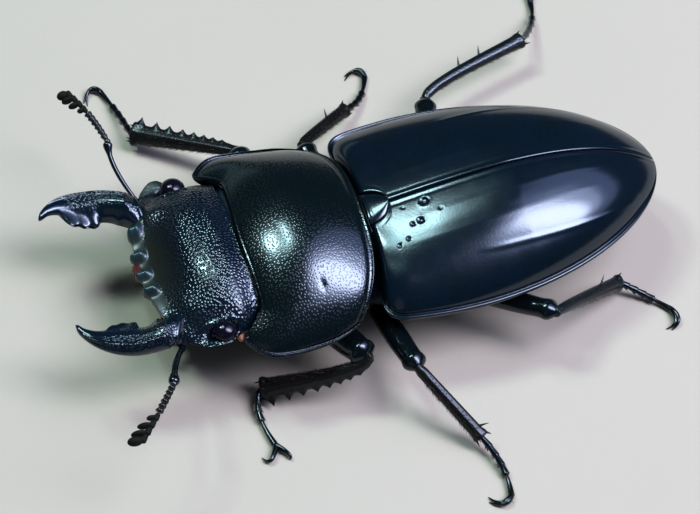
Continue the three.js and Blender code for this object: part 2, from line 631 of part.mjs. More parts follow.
function tarsus(pair, side) {
  const beads = 4;
  const split = 1 - FOOT.lastShare;
  const section = (t) => {
    const phase = (t / split) * beads;
    const place = phase - Math.floor(phase + 1e-6);
    const share = t < split ? place : 0.85 * (t - split) / FOOT.lastShare;
    const r = lerp(FOOT.neck, FOOT.bead, share);
    return [r, r];
  };
  const stations = [];
  for (let bead = 0; bead < beads; bead++) {
    stations.push(...[0.02, 0.9].map((t) => (bead + t) / beads * split));
  }
  const shaft = limb(footRoute(pair, side), up, section, [...stations, split + 0.02, 0.94], 6);
  return onFloor(shaft);
}

// Two hooked claws that spread from one root beyond the last segment and bend to the way they point.
function claws(pair, side) {
  const { claw, spread } = POSE[`${pair}_${side}`];
  const heading = THREE.MathUtils.degToRad(claw);
  const route = footRoute(pair, side);
  const root = route.getPoint(1);
  const ahead = route.getTangent(1).setZ(0).normalize();
  const aside = new THREE.Vector3(-ahead.y, ahead.x, 0);
  const turned = new THREE.Vector3(Math.cos(heading), Math.sin(heading), 0);
  const across = new THREE.Vector3(-turned.y, turned.x, 0);
  const hooks = [1, -1].map((sign) => {
    const mid = root.clone().addScaledVector(ahead, 0.6 * FOOT.claw);
    mid.addScaledVector(turned, 0.3 * FOOT.claw);
    mid.addScaledVector(aside, sign * spread).setZ(root.z + 0.3);
    const tip = root.clone().addScaledVector(turned, (1 - 0.6 * spread) * FOOT.claw);
    tip.addScaledVector(across, sign * spread).setZ(FLOOR - 0.05);
    const hook = new THREE.QuadraticBezierCurve3(root, mid, tip);
    const section = (t) => [lerp(0.25, 0.09, t), lerp(0.25, 0.09, t)];
    return limb(hook, up, section, [0, 0.4, 0.75, 1], 4);
  });
  return onFloor(join(...hooks));
}

// Cuts a foot level with the floor, so that it stands on small flats.
function onFloor(piece) {
  const ground = new THREE.BoxGeometry(60, 60, 2).translate(0, 0, FLOOR - 1);
  return cut(piece, ground);
}

// ---------------------------------------------------------------- assembly

const beetle = new THREE.Group();

function add(name, geometry, material) {
  const mesh = new THREE.Mesh(geometry, material);
  mesh.name = name;
  beetle.add(mesh);
}

add("head", head(), MATERIAL.body);
add("labrum", labrum(), MATERIAL.mouth);
add("pronotum", pronotum(), MATERIAL.body);
add("scutellum", scutellum(), MATERIAL.body);
add("thorax", thorax(), MATERIAL.body);
add("abdomen", abdomen(), MATERIAL.body);
for (const [side, sign] of [["left", 1], ["right", -1]]) {
  add(`eye_${side}`, eye(sign), MATERIAL.eye);
  add(`mandible_${side}`, mandible(side), MATERIAL.jaw);
  add(`palp_${side}`, palp(sign), MATERIAL.feeler);
  add(`scape_${side}`, scape(side), MATERIAL.feeler);
  add(`funicle_${side}`, funicle(side), MATERIAL.feeler);
  add(`club_${side}`, club(side), MATERIAL.club);
  add(`elytron_${side}`, elytron(side), MATERIAL.elytra);
  for (const pair of ["front", "middle", "hind"]) {
    add(`coxa_${pair}_${side}`, coxa(pair, sign), MATERIAL.leg);
    add(`femur_${pair}_${side}`, femur(pair, side), MATERIAL.leg);
    add(`tibia_${pair}_${side}`, tibia(pair, side), MATERIAL.leg);
    add(`tarsus_${pair}_${side}`, tarsus(pair, side), MATERIAL.leg);
    add(`claws_${pair}_${side}`, claws(pair, side), MATERIAL.leg);
  }
}

const bounds = new THREE.Box3().setFromObject(beetle, true);
const centre = bounds.getCenter(new THREE.Vector3());
beetle.position.set(-centre.x, -centre.y, -FLOOR);

const group = new THREE.Group();
group.add(beetle);
group.updateMatrixWorld(true);

export default group;
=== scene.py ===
"""A short-jawed male stag beetle, life size, standing on a pale floor under soft lamps.

Every piece is worked out in the beetle's own frame, in millimetres: x to its left, -y to its head,
z up, with the origin in the middle of the base of the wing cases, level with their side margin.
"""

import math

import bpy
import numpy as np
from mathutils import Matrix, Vector


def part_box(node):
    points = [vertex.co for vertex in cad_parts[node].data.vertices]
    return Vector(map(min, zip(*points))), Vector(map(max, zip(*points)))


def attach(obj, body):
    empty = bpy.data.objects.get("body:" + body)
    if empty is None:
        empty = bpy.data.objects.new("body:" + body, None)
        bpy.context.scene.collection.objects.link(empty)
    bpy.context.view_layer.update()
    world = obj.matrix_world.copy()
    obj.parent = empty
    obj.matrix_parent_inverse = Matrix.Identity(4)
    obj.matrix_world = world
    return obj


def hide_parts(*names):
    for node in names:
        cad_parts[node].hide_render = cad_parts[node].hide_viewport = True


bl_info = {
    "name": "Stag Beetle",
    "version": (1, 0, 0),
    "blender": (4, 5, 0),
    "location": "3D View > Sidebar > Beetle",
    "description": "Builds a stag beetle from formulas, piece by piece, round its frame of solids",
    "category": "Add Mesh",
}

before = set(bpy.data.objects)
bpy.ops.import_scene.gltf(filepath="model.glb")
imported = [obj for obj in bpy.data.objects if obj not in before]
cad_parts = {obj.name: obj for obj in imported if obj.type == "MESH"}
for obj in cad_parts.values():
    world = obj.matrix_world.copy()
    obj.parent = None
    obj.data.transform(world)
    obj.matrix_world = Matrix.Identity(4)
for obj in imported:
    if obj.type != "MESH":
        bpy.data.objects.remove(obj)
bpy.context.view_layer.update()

# ---------------------------------------------------------------- driving dimensions, in millimetres

MM = 0.001
FLOOR = -6.0
GAP = 0.3
SEAM = 0.05

wing_high = np.array(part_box("elytron_left")[1]) / MM
shield_low, shield_high = (np.array(corner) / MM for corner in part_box("pronotum"))
MIDDLE = (shield_low[0] + shield_high[0]) / 2
WING = {"length": 21.6, "half": wing_high[0] - MIDDLE, "crown": 3.7, "corner": 1.6, "rim": 0.36, "wall": 0.5,
        "shoulder": 0.13, "base_drop": 0.48, "rounding": 0.3}
SHIFT = np.array([MIDDLE, wing_high[1] - WING["length"], -FLOOR])

SHIELD = {
    "half": (shield_high[0] - shield_low[0]) / 2, "front": -7.95, "hind": 0.45, "hind_below": -2.0,
    "corner": 1.6, "hind_bend": 2.4, "crown": 3.33, "rim": 0.3, "keel": 2.7, "front_drop": 1.1,
    "hind_drop": 0.98, "end_drop": 0.25,
}
SCUTELLUM = {"half": 1.3, "length": 1.55}

# Raised beads and grooves as bell curves: height, place and width. Places are distances from the margin,
# along the trunk's y, and along the jaw as shares of its length.
BEAD_LINES = {
    "suture": ((0.01, 0.17, 0.09), (-0.01, 0.42, 0.12)),
    "shield_side": ((0.15, 0.1, 0.07),),
    "shield_front": ((0.03, 0.08, 0.045), (-0.02, 0.2, 0.06)),
    "shield_hind": ((0.06, 0.12, 0.07), (-0.09, 0.42, 0.2)),
    "thorax": ((-0.1, 2.2, 0.12), (-0.12, 5.0, 0.1)),
    "jaw_root": ((0.07, 0.045, 0.02), (-0.07, 0.0, 0.022)),
}

# Ribs of a wing case: height, place as a share of the half width, and width as such a share. The strong
# rib's place moves outwards by its lean for each millimetre.
FAINT_RIBS = ((0.008, 0.24, 0.03), (0.008, 0.45, 0.03))
STRONG_RIB = {"height": 0.035, "place": 0.58, "lean": 0.0115, "width": 0.02}
WING_SWELL = {"shoulder": 0.05, "hollow": 0.015, "waves": 0.004, "seam_drop": 0.1}

# Small dents in the left wing case near its base: x, y, radius and depth.
DENTS = ((0.97, 4.5, 0.36, 0.1), (2.27, 3.89, 0.27, 0.09), (2.36, 3.31, 0.18, 0.07), (3.3, 2.75, 0.16, 0.06),
         (3.57, 2.05, 0.18, 0.06), (0.94, 3.01, 0.15, 0.03), (1.89, 5.39, 0.15, 0.03))

# Middle and half width, along x and along y, and depth of the one small scar on the pronotum.
SCAR = {"x": (5.16, 0.3), "y": (-3.73, 0.18), "depth": 0.06}
TRUNK = {"waist": 7.3, "end": 20.4, "depth": 3.2, "inset": 1.3, "clear": 0.15, "side": 0.35, "line": 0.07}
HEAD = {"back": -8.3, "front": -14.9, "half": 6.2, "crown": 2.45, "keel": 2.3, "shear": 0.045}
EYE = {"centre": (5.9, -10.9, 0.45), "radii": (0.85, 0.88, 0.72), "shift": -0.2}

# Heights of the head's swellings and depths of its hollows.
HEAD_RELIEF = {
    "hollow": 0.8, "left_swelling": 0.16, "right_swelling": 0.34, "brow": 0.12, "orbit": 0.4, "temple": 0.06,
}

# The plate in front of each eye: how far it stands out on the left and on the right, and its lift there.
CANTHUS = {"left": (0.68, 0.35), "right": (-1.08, 0.22)}

# Knobs on the front margin of the head: middle and half width along x, and height over the hollow.
KNOBS = ((-3.3, 0.55, 0.62), (-1.42, 0.34, 0.6), (0.1, 0.32, 0.52), (1.6, 0.3, 0.66))

PALP = {"root": (1.5, -13.2, -2.2), "bend": (1.9, -14.1, -2.6), "tip": (2.9, -14.7, -2.5), "beads": 4}
LIP = {"middle": -0.5, "half": 0.6, "length": 0.5, "notch": 0.12}
NECK = {"half": 5.35, "above": 1.75, "below": 1.55, "hind": -7.0, "front": -8.9}
NECK_FOLD = {"centre": (6.05, -9.65, -0.1), "radii": (0.62, 0.3, 0.24)}
BRUSH = {"hairs": 320, "half": 0.6, "radius": 0.014, "shortest": 0.2, "longest": 0.42, "droop": 0.12}

# Jaws: y and z of their roots, length, rise of the point, hang of the inner edge, height of the ridge and
# depth of the channel; for each jaw its root's x, its opening in degrees, the height and end of its
# blade, and the low tooth near its root.
JAW = {
    "base": (-14.0, 0.55), "length": 6.55, "rise": 0.6, "depth": 0.42, "ridge": 0.17, "channel": 0.08,
    "left": {"root": 5.95, "open": 24.5, "blade": 0.42, "blade_end": 0.72, "basal": 0.45},
    "right": {"root": 6.15, "open": 6.0, "blade": 0.85, "blade_end": 0.79, "basal": 0.1},
}
CONDYLE = {"centre": (4.75, -13.85, 0.1), "radii": (1.2, 0.8, 0.85)}

# Each feeler: the ends and the bend of its stalk, the bend and the tip of the part beyond the elbow, the
# way its plates reach, their size against the largest, and the stalk's radius.
FEELER = {
    "left": {
        "base": (6.0, -13.55, -0.3), "bend": (7.6, -14.5, 0.85), "elbow": (9.7, -14.95, 1.7),
        "sway": (11.5, -16.15, 2.05), "tip": (13.6, -18.05, 2.0), "reach": (-0.3, -0.95, 0.0), "plate": 1.0,
        "stalk": 0.19,
    },
    "right": {
        "base": (-6.1, -13.55, -0.25), "bend": (-8.6, -15.0, 1.3), "elbow": (-10.15, -14.65, 2.0),
        "sway": (-12.7, -15.2, 2.3), "tip": (-14.8, -16.5, 2.4), "reach": (0.45, -0.9, 0.0), "plate": 0.8,
        "stalk": 0.15,
    },
}

# The beads of a feeler: where they start and end as shares of the part beyond the elbow, how many there
# are, and their radius at each end. The first row is the funicle and the second the club's stem.
BEADS = {"funicle": (0.03, 0.52, 6, 0.15, 0.25), "stem": (0.54, 0.98, 4, 0.14, 0.23)}

# The club's plates: where each stands on the part beyond the elbow, and its three half sizes.
PLATES = (
    (0.6, (0.34, 0.17, 0.24)), (0.72, (0.5, 0.18, 0.32)),
    (0.84, (0.55, 0.19, 0.36)), (0.95, (0.52, 0.3, 0.38)),
)
ELBOW_RADIUS = 0.22

# Each leg: hip, knee and ankle, the bend and the end of the foot seen from above, the way the outer edge
# of the lower leg faces, the bow of that leg, the places of its spines as shares of its length, the way
# the claws point, in degrees from +x towards +y, and how far apart their points are.
POSE = {
    "front_left": {
        "hip": (4.3, -4.0, -2.75), "knee": (9.2, -1.75, -1.5), "ankle": (7.7, -8.7, -4.9),
        "bend": (8.6, -9.7), "toe": (11.8, -8.75),
        "outer": (0.84, 0.12, -0.53), "bow": 0.45, "spines": (), "claw": -20, "spread": 0.9,
    },
    "front_right": {
        "hip": (-4.3, -4.0, -2.7), "knee": (-10.75, -5.7, -3.0), "ankle": (-15.4, -12.05, -4.7),
        "bend": (-18.5, -12.4), "toe": (-20.7, -13.3),
        "outer": (-1.0, -0.35, 0.3), "bow": 0.0, "spines": (), "claw": 306, "spread": 0.2,
    },
    "middle_left": {
        "hip": (4.2, 0.1, -2.9), "knee": (11.0, 1.2, -1.4), "ankle": (15.3, 4.4, -4.8),
        "bend": (17.55, 5.65), "toe": (19.65, 5.1),
        "outer": (0.1, 1.0, 0.3), "bow": 0.0, "spines": (0.88,), "claw": 257, "spread": 0.2,
    },
    "middle_right": {
        "hip": (-4.2, 0.1, -2.9), "knee": (-10.0, -0.85, -3.1), "ankle": (-13.45, 3.4, -4.7),
        "bend": (-14.5, 5.15), "toe": (-16.85, 5.85),
        "outer": (-1.0, 0.25, 0.3), "bow": 0.1, "spines": (0.62,), "claw": 259, "spread": 0.2,
    },
    "hind_left": {
        "hip": (4.7, 6.2, -3.0), "knee": (9.5, 11.4, -1.0), "ankle": (6.2, 17.35, -4.6),
        "bend": (7.1, 19.3), "toe": (8.7, 20.5),
        "outer": (-0.5, 0.0, 0.9), "bow": 0.1, "spines": (0.69,), "claw": 331, "spread": 0.2,
    },
    "hind_right": {
        "hip": (-4.7, 6.2, -3.0), "knee": (-11.9, 8.95, -3.5), "ankle": (-15.2, 17.35, -3.3),
        "bend": (-18.2, 19.7), "toe": (-20.3, 19.9),
        "outer": (-1.0, 0.25, 0.3), "bow": 0.45, "spines": (0.6, 0.4), "claw": 150, "spread": 0.3,
    },
}

# Each pair of legs: half width and half thickness of the upper leg, half widths at both ends and half
# thickness of the lower leg, and the middle and half sizes of the hip.
LEG = {
    "front": {
        "femur": (1.0, 1.0), "tibia": (0.4, 0.74, 0.45), "coxa": ((2.5, -4.0, -2.75), (1.75, 1.15, 1.0)),
    },
    "middle": {
        "femur": (0.75, 0.8), "tibia": (0.4, 0.48, 0.4), "coxa": ((2.4, 0.3, -3.0), (1.6, 1.0, 0.8)),
    },
    "hind": {
        "femur": (0.68, 0.76), "tibia": (0.38, 0.54, 0.42), "coxa": ((2.6, 6.0, -3.0), (2.0, 0.85, 0.75)),
    },
}

# Heights of the swellings of the upper leg and of the ridges of the lower leg.
FEMUR = {"knob": 0.1, "keel": 0.06, "knee": 0.13}
TIBIA_RIDGE = 0.035

# Spurs round the ankle: how far out from the middle of the lower leg, as a share of its half width, and how
# far across each starts; its reach along, out and across; its radius; and its bow along and out. All start
# at one place along the leg, a share of its length.
SPURS = (
    (-0.7, 0.1, (0.42, -0.55, 0.0), 0.12, (0.05, 0.0)),
    (-0.5, -0.2, (0.34, -0.32, -0.2), 0.1, (0.0, 0.0)),
    (0.6, 0.0, (0.25, 0.65, 0.0), 0.15, (0.0, 0.04)),
)
SPUR_PLACE = 0.95

# Each spine of a lower leg: where it starts, as a share of the half width; how far along its tip lies from
# there, as a share of the leg; its reach beyond the edge; its radius; and its bow outwards.
SPINE = {"start": 0.6, "ahead": 0.05, "length": 0.55, "radius": 0.1, "bow": 0.06}

# The small first joint at the root of the upper leg, its drop and its place before the hip.
TROCHANTER = {"radii": (0.62, 0.62, 0.5), "drop": 0.1, "ahead": 0.15}

# Teeth of the front lower leg: place as a share of its length, and height. All are equally wide.
TEETH = ((0.12, 0.16), (0.21, 0.2), (0.3, 0.24), (0.4, 0.28), (0.51, 0.32), (0.64, 0.36), (0.77, 0.42),
         (0.92, 0.55))
TOOTH_WIDTH = 0.052

# The foot: number of short segments, radius of their cups and necks, share of the last segment and its
# radii, reach and radius of a claw, and height of the last segment's end over the floor.
FOOT = {
    "beads": 4, "bead": 0.27, "neck": 0.19, "last_share": 0.38, "last": (0.13, 0.25), "claw": 1.7,
    "claw_radius": 0.23, "level": 0.25,
}
SOLE_HAIR = {"root": 0.27, "shortest": 0.1, "longest": 0.2}
LEG_HAIR_RADIUS = 0.012
BRUSH_SEED = 77
UP = np.array([0.0, 0.0, 1.0])
SIDES = (("left", 1.0), ("right", -1.0))

# Loops along each piece and points round each loop, where no setting gives them, and both for balls.
ALONG = {
    "scutellum": 40, "thorax": 90, "abdomen": 170, "nose": 12, "jaw_point": 40, "palp": 18, "lip": 30,
    "neck": 30, "scape": (90, 24), "bead": 20, "femur": (60, 30), "tibia": 110, "toothed_tibia": 240,
    "tibia_ends": (16, 12), "foot_bead": 30, "foot_end": 50, "claw": 40,
}
ROUND = {
    "wing_top": 130, "wing_inside": 22, "shield_top": 220, "shield_below": 90, "scutellum": 48,
    "trunk_top": 60, "trunk_below": 110, "head_top": 230, "head_below": 112, "jaw": 84, "palp": 20,
    "lip": 48, "neck": 90, "scape": 30, "bead": 22, "femur": 48, "tibia": 72, "foot": 30, "claw": 18,
}
BALL = {
    "eye": (60, 80), "condyle": (40, 56), "coxa": (36, 48), "trochanter": (22, 28), "plate": (22, 28),
    "elbow": (18, 24), "neck_fold": (24, 32),
}

# ---------------------------------------------------------------- stage, light and shared looks

AIM = (1.448, -0.726, -1.101)
FLOOR_REACH = 2.0
SENSOR_WIDTH = 36.0
CLIP = (0.005, 10.0)
SKY_TINT = (0.5, 0.7, 1.0, 1.0)

# Each lamp: azimuth and elevation in degrees, distance and size in metres, power in watts and tint.
LAMPS = {
    "lavender_core": (150, 57, 0.35, (0.11, 0.27), 1.9, (0.82, 0.83, 1.0)),
    "lavender_middle": (155, 57, 0.36, (0.22, 0.34), 1.2, (0.68, 0.72, 1.0)),
    "lavender_edge": (164, 54, 0.38, (0.4, 0.44), 1.1, (0.45, 0.55, 1.0)),
    "teal_wing_box": (-73, 67, 0.35, (0.03, 0.1), 0.35, (0.7, 1.0, 0.97)),
    "teal_shield_box": (-44, 61, 0.35, (0.05, 0.07), 0.75, (0.7, 1.0, 0.97)),
    "teal_shield_tail": (-57, 72, 0.35, (0.05, 0.06), 0.12, (0.6, 1.0, 0.95)),
    "far_rim": (-75, 12, 0.4, (0.25, 0.06), 0.02, (0.6, 0.95, 1.0)),
    "front_fill": (50, 30, 0.5, (0.3, 0.3), 0.05, (1.0, 0.98, 0.95)),
}

# What every horny shell shares, sizes in metres: the clouds between its two tints, the grain and its
# depth, the patches in its gloss and how far that gloss varies, how strongly and how dark shade is painted
# into the pits, and how much duller the places without pits are.
SHELL = {
    "cloud": 0.0022, "grain": 0.00012, "grain_depth": 0.000001, "gloss_patch": 0.0009, "gloss_range": 0.06,
    "pit_painted_shade_share": 0.7, "pit_painted_shade": 0.35, "pit_uneven": 0.8, "bare_dull": 0.2,
}
SHEEN_TINT = (0.8, 0.9, 1.0, 1.0)

# Width and height, as shares of an unwrap, of the small patch of it that each hair takes.
HAIR_PATCH = 0.003


# ---------------------------------------------------------------- arithmetic

def smooth(x, low, high):
    """0 below low, 1 above high, and three t squared less two t cubed between them."""
    t = np.clip((x - low) / (high - low), 0.0, 1.0)
    return t * t * (3.0 - 2.0 * t)


def hump(x, middle, width):
    """A bell curve: e to the minus square of (x - middle) / width."""
    return np.exp(-(((x - middle) / width) ** 2))


def blend(a, b, t):
    """a where t is 0, b where t is 1, and a straight line between."""
    return a + (b - a) * t


def closer_at_ends(count):
    """Shares from 0 to 1 that lie closer together at both ends: half of one less the cosine."""
    return (1.0 - np.cos(np.pi * np.linspace(0.0, 1.0, count))) / 2.0


def past(x, start, end, power):
    """0 on the near side of start, and beyond it the share of the way to end, raised to a power."""
    return np.maximum(0, (x - start) / (end - start)) ** power


def bumps(x, rows):
    """A sum of bell curves, each given as its height, middle and width."""
    return sum(height * hump(x, middle, width) for height, middle, width in rows)


def spread_points(x, y, z):
    """Three coordinates, spread to one shape, as an array of points."""
    return np.stack(np.broadcast_arrays(x, y, z), axis=-1)


def rounded(x, start, reach, least=0.0):
    """1 up to start and a quarter circle beyond it: the root of one less the square of the way past start,
    over reach, but never less than the root of least."""
    return np.sqrt(np.maximum(least, 1 - np.maximum(0, (x - start) / reach) ** 2))


def to_round_end(first, last, reach, rows, end_rows, step):
    """Even shares from first to last, then more over reach that crowd to the end as a sine does."""
    end = last + reach * np.sin(np.linspace(step, 1, end_rows) * np.pi / 2)
    return np.concatenate([np.linspace(first, last, rows), end])


def unit(vectors):
    """Each vector divided by its length."""
    return vectors / np.linalg.norm(vectors, axis=-1, keepdims=True)


def bezier(start, bend, end, t):
    """The curve (1-t)^2 start + 2t(1-t) bend + t^2 end."""
    t = np.asarray(t)[:, None]
    return (1 - t) ** 2 * np.array(start) + 2 * t * (1 - t) * np.array(bend) + t**2 * np.array(end)


def through_points(points, per_span):
    """A smooth line through rows of points: each span is the cubic whose slopes at its ends are half
    the step from the point before to the point after. points is (rows, points, coordinates)."""
    before = np.concatenate([2 * points[:, :1] - points[:, 1:2], points[:, :-2]], axis=1)
    after = np.concatenate([points[:, 2:], 2 * points[:, -1:] - points[:, -2:-1]], axis=1)
    t = (np.arange(per_span) / per_span)[None, None, :, None]
    a, b = points[:, :-1, None], points[:, 1:, None]
    slope_a, slope_b = (b - before[:, :, None]) / 2, (after[:, :, None] - a) / 2
    square, cube = 3 * (b - a) - 2 * slope_a - slope_b, 2 * (a - b) + slope_a + slope_b
    cubic = a + slope_a * t + square * t**2 + cube * t**3
    return np.concatenate([cubic.reshape(len(points), -1, points.shape[2]), points[:, -1:]], axis=1)


# ---------------------------------------------------------------- surfaces

class Skin:
    """Points in millimetres with four- and three-sided faces, and named numbers for each point."""

    def __init__(self, points, quads, triangles, marks=None):
        self.points = points
        self.quads = quads
        self.triangles = triangles
        self.marks = marks or {}

    def outward(self):
        """The same skin, with its faces turned over if the volume they close comes out negative."""
        halves = np.vstack([self.quads[:, :3], self.quads[:, [0, 2, 3]], self.triangles])
        a, b, c = (self.points[halves[:, i]] for i in range(3))
        if np.einsum("ij,ij->", a, np.cross(b, c)) < 0:
            self.quads = self.quads[:, ::-1]
            self.triangles = self.triangles[:, ::-1]
        return self


def joined(skins):
    """Several skins as one, each still closed by itself."""
    starts = np.cumsum([0] + [len(skin.points) for skin in skins])
    names = {name for skin in skins for name in skin.marks}
    marks = {
        name: np.concatenate([skin.marks.get(name, np.zeros(len(skin.points))) for skin in skins])
        for name in names
    }
    return Skin(
        np.vstack([skin.points for skin in skins]),
        np.vstack([skin.quads + start for skin, start in zip(skins, starts)]),
        np.vstack([skin.triangles + start for skin, start in zip(skins, starts)]),
        marks,
    )


def loft(rings, marks=None):
    """A closed skin over a row of loops: four-sided faces between neighbours, and a fan from the middle
    of each end loop. rings is (loops, points round, 3)."""
    rows, sides = rings.shape[:2]
    row, side = np.meshgrid(np.arange(rows - 1), np.arange(sides), indexing="ij")
    a = row * sides + side
    b = row * sides + (side + 1) % sides
    quads = np.stack([a, b, b + sides, a + sides], axis=-1).reshape(-1, 4)
    this = np.arange(sides)
    following = (this + 1) % sides
    last = (rows - 1) * sides
    start_fan = np.stack([np.full(sides, rows * sides), following, this], axis=-1)
    end_fan = np.stack([np.full(sides, rows * sides + 1), last + this, last + following], axis=-1)
    points = np.vstack([rings.reshape(-1, 3), rings[0].mean(0), rings[-1].mean(0)])
    numbers = {
        name: np.concatenate([value.ravel(), [value[0].mean(), value[-1].mean()]])
        for name, value in (marks or {}).items()
    }
    return Skin(points, quads, np.vstack([start_fan, end_fan]), numbers).outward()


def carried(path, broad, across, through):
    """Profiles carried along a path: each loop lies square to the path, its first coordinate towards
    "broad" and its second along path x broad."""
    tangent = unit(np.gradient(path, axis=0))
    broad = np.broadcast_to(np.asarray(broad, float), path.shape)
    side = unit(broad - np.sum(broad * tangent, axis=1, keepdims=True) * tangent)
    third = np.cross(tangent, side)
    return path[:, None] + side[:, None] * across[:, :, None] + third[:, None] * through[:, :, None]


def tube(path, width, height, sides):
    """A closed skin of ellipses along a path, with half axes width and height at each of its points."""
    turn = angles(sides)[None, :]
    return loft(carried(path, UP, width[:, None] * np.cos(turn), height[:, None] * np.sin(turn)))


def angles(count):
    """Angles round a loop, without the last one, which is the first again."""
    return np.linspace(0.0, 2 * np.pi, count, endpoint=False)


def ball(centre, radii, rows=28, sides=36, axes=np.eye(3)):
    """An ellipsoid: circles of radius sin a at height cos a, stretched along three axes."""
    polar = np.pi * (np.arange(rows) + 0.5)[:, None] / rows
    turn = angles(sides)[None, :]
    flat, high = np.sin(polar), np.cos(polar) + 0 * turn
    local = np.stack([flat * np.cos(turn), flat * np.sin(turn), high], axis=-1)
    return loft(np.array(centre) + (local * np.array(radii)) @ np.asarray(axes))


def horn(root, tip, radius, bow=(0.0, 0.0, 0.0), rows=10, sides=8, blunt=0.04):
    """A thin horn from root to tip: circles that shrink along a curve bowed to one side."""
    root, tip = np.array(root), np.array(tip)
    t = np.linspace(0.0, 1.0, rows)
    path = bezier(root, (root + tip) / 2 + np.array(bow), tip, t)
    size = (radius * (1 - (1 - blunt) * t**1.3))[:, None]
    turn = angles(sides)[None, :]
    return loft(carried(path, np.array([0.31, 0.22, 0.93]), size * np.cos(turn), size * np.sin(turn)))


def mirrored(skin):
    """The skin seen in a mirror on the middle plane."""
    return Skin(skin.points * np.array([-1.0, 1.0, 1.0]), skin.quads, skin.triangles, skin.marks).outward()


def make_piece(name, skins, material, replaced=(), patches=None):
    """One finished object: its mesh in the row frame, smooth-shaded, riding on the beetle's body."""
    skin = joined(skins)
    mesh = bpy.data.meshes.new(name)
    mesh.from_pydata(((skin.points + SHIFT) * MM).tolist(), [], skin.quads.tolist() + skin.triangles.tolist())
    mesh.shade_smooth()
    for mark, numbers in skin.marks.items():
        mesh.attributes.new(mark, "FLOAT", "POINT").data.foreach_set("value", numbers.astype(np.float32))
    if patches is not None:
        corners = np.empty(len(mesh.loops), np.int32)
        mesh.loops.foreach_get("vertex_index", corners)
        mesh.uv_layers.new(name="OFBake").data.foreach_set("uv", patches[corners].astype(np.float32).ravel())
    mesh.materials.append(material)
    piece = bpy.data.objects.new(name, mesh)
    bpy.context.scene.collection.objects.link(piece)
    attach(piece, "root")
    if replaced:
        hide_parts(*replaced)
    return piece


def bristles(roots, ways, lengths, radius, droop, places):
    """Many fine hairs in one skin. Each is a three-sided needle on the curve
    root + way t + droop t squared, in three steps and a point. places gives each root's spot on an
    unwrap of what it grows from; a hair's corners lie in a small patch there."""
    count = len(roots)
    t = np.array([0.0, 0.4, 0.75])
    lengths = lengths[:, None, None]
    path = roots[:, None] + lengths * (unit(ways)[:, None] * t[:, None] + droop[:, None] * (t**2)[:, None])
    side = unit(np.cross(ways, UP + 0.01) + 1e-9)
    third = unit(np.cross(ways, side))
    turn = angles(3)
    ring = side[:, None] * np.cos(turn)[:, None] + third[:, None] * np.sin(turn)[:, None]
    taper = radius * (1 - 0.8 * t)
    needle = path[:, :, None] + ring[:, None] * taper[None, :, None, None]
    tip = roots + lengths[:, 0] * (unit(ways) + droop)
    points = np.concatenate([needle.reshape(count, 9, 3), tip[:, None]], axis=1)
    step = 10 * np.arange(count)[:, None, None]
    quads = np.array([[3 * r + s, 3 * r + (s + 1) % 3, 3 * r + 3 + (s + 1) % 3, 3 * r + 3 + s]
                      for r in range(2) for s in range(3)])
    caps = np.array([[0, 2, 1], [6, 7, 9], [7, 8, 9], [8, 6, 9]])
    patch = HAIR_PATCH * np.array([[s / 2, r / 3] for r in range(3) for s in range(3)] + [[0.5, 1.0]])
    uv = (places[:, None] * 0.99 + patch).reshape(-1, 2)
    quads, caps = (quads[None] + step).reshape(-1, 4), (caps[None] + step).reshape(-1, 3)
    return Skin(points.reshape(-1, 3), quads, caps).outward(), uv


# ---------------------------------------------------------------- shapes of the back

def wing_half(y):
    """Half width of both wing cases: round shoulders, nearly parallel sides and a long rounded apex."""
    u = y / WING["length"]
    shoulder = 1 - WING["shoulder"] * past(u, 0.25, 0, 2)
    apex = np.maximum(0, 1 - past(u, 0.28, 1, 1.9)) ** 0.54
    corner = WING["corner"]
    inside = np.clip(corner - (y - SHIELD["hind"] - GAP), 0, corner)
    return WING["half"] * shoulder * apex - (corner - np.sqrt(corner**2 - inside**2))


def wing_crown(y):
    """Height of the wing cases over their side margin."""
    u = y / WING["length"]
    apex = np.maximum(0, 1 - past(u, 0.5, 1, 2.6)) ** 0.9
    return WING["crown"] * apex * (1 - WING["base_drop"] * past(u, 0.5, 0, 1.3))


def dome(x, half, height):
    """An arch: height times (1 - |x / half|^2.3)^0.63."""
    return height * np.maximum(0, 1 - np.abs(x / half) ** 2.3) ** 0.63


def shield_half(v):
    """Half width of the pronotum from its front angles, v = 0, to its hind angles, v = 1."""
    front = 1.5 * past(v, 0.33, 0, 2.6)
    sides = 0.28 * past(v, 0.4, 0.75, 1.5)
    oblique = 0.35 * past(v, 0.75, 1, 1.6)
    return SHIELD["half"] - front - sides - oblique


def shield_crown(v):
    """Height of the pronotum in its middle, from front to hind margin."""
    drop = SHIELD["front_drop"] * past(v, 0.48, 0, 2) + SHIELD["hind_drop"] * past(v, 0.48, 1, 2)
    return SHIELD["crown"] - drop


def front_margin(u):
    """y of the pronotum's front margin by the share u of its half width."""
    return SHIELD["front"] - 0.2 * hump(u, 0, 0.35) - SHIELD["corner"] * smooth(np.abs(u), 0.68, 1) ** 1.3


def hind_margin(u):
    """y of the pronotum's hind margin by the share u of its half width."""
    return SHIELD["hind"] - SHIELD["hind_bend"] * np.abs(u) ** 3.6


def scutellum_half(y):
    """Half width that the wing cases leave free for the scutellum."""
    u = np.maximum(0, y - SHIELD["hind"]) / (SCUTELLUM["length"] + 0.35)
    return (SCUTELLUM["half"] + 2 * SEAM) * np.sqrt(np.maximum(0, 1 - u * u))


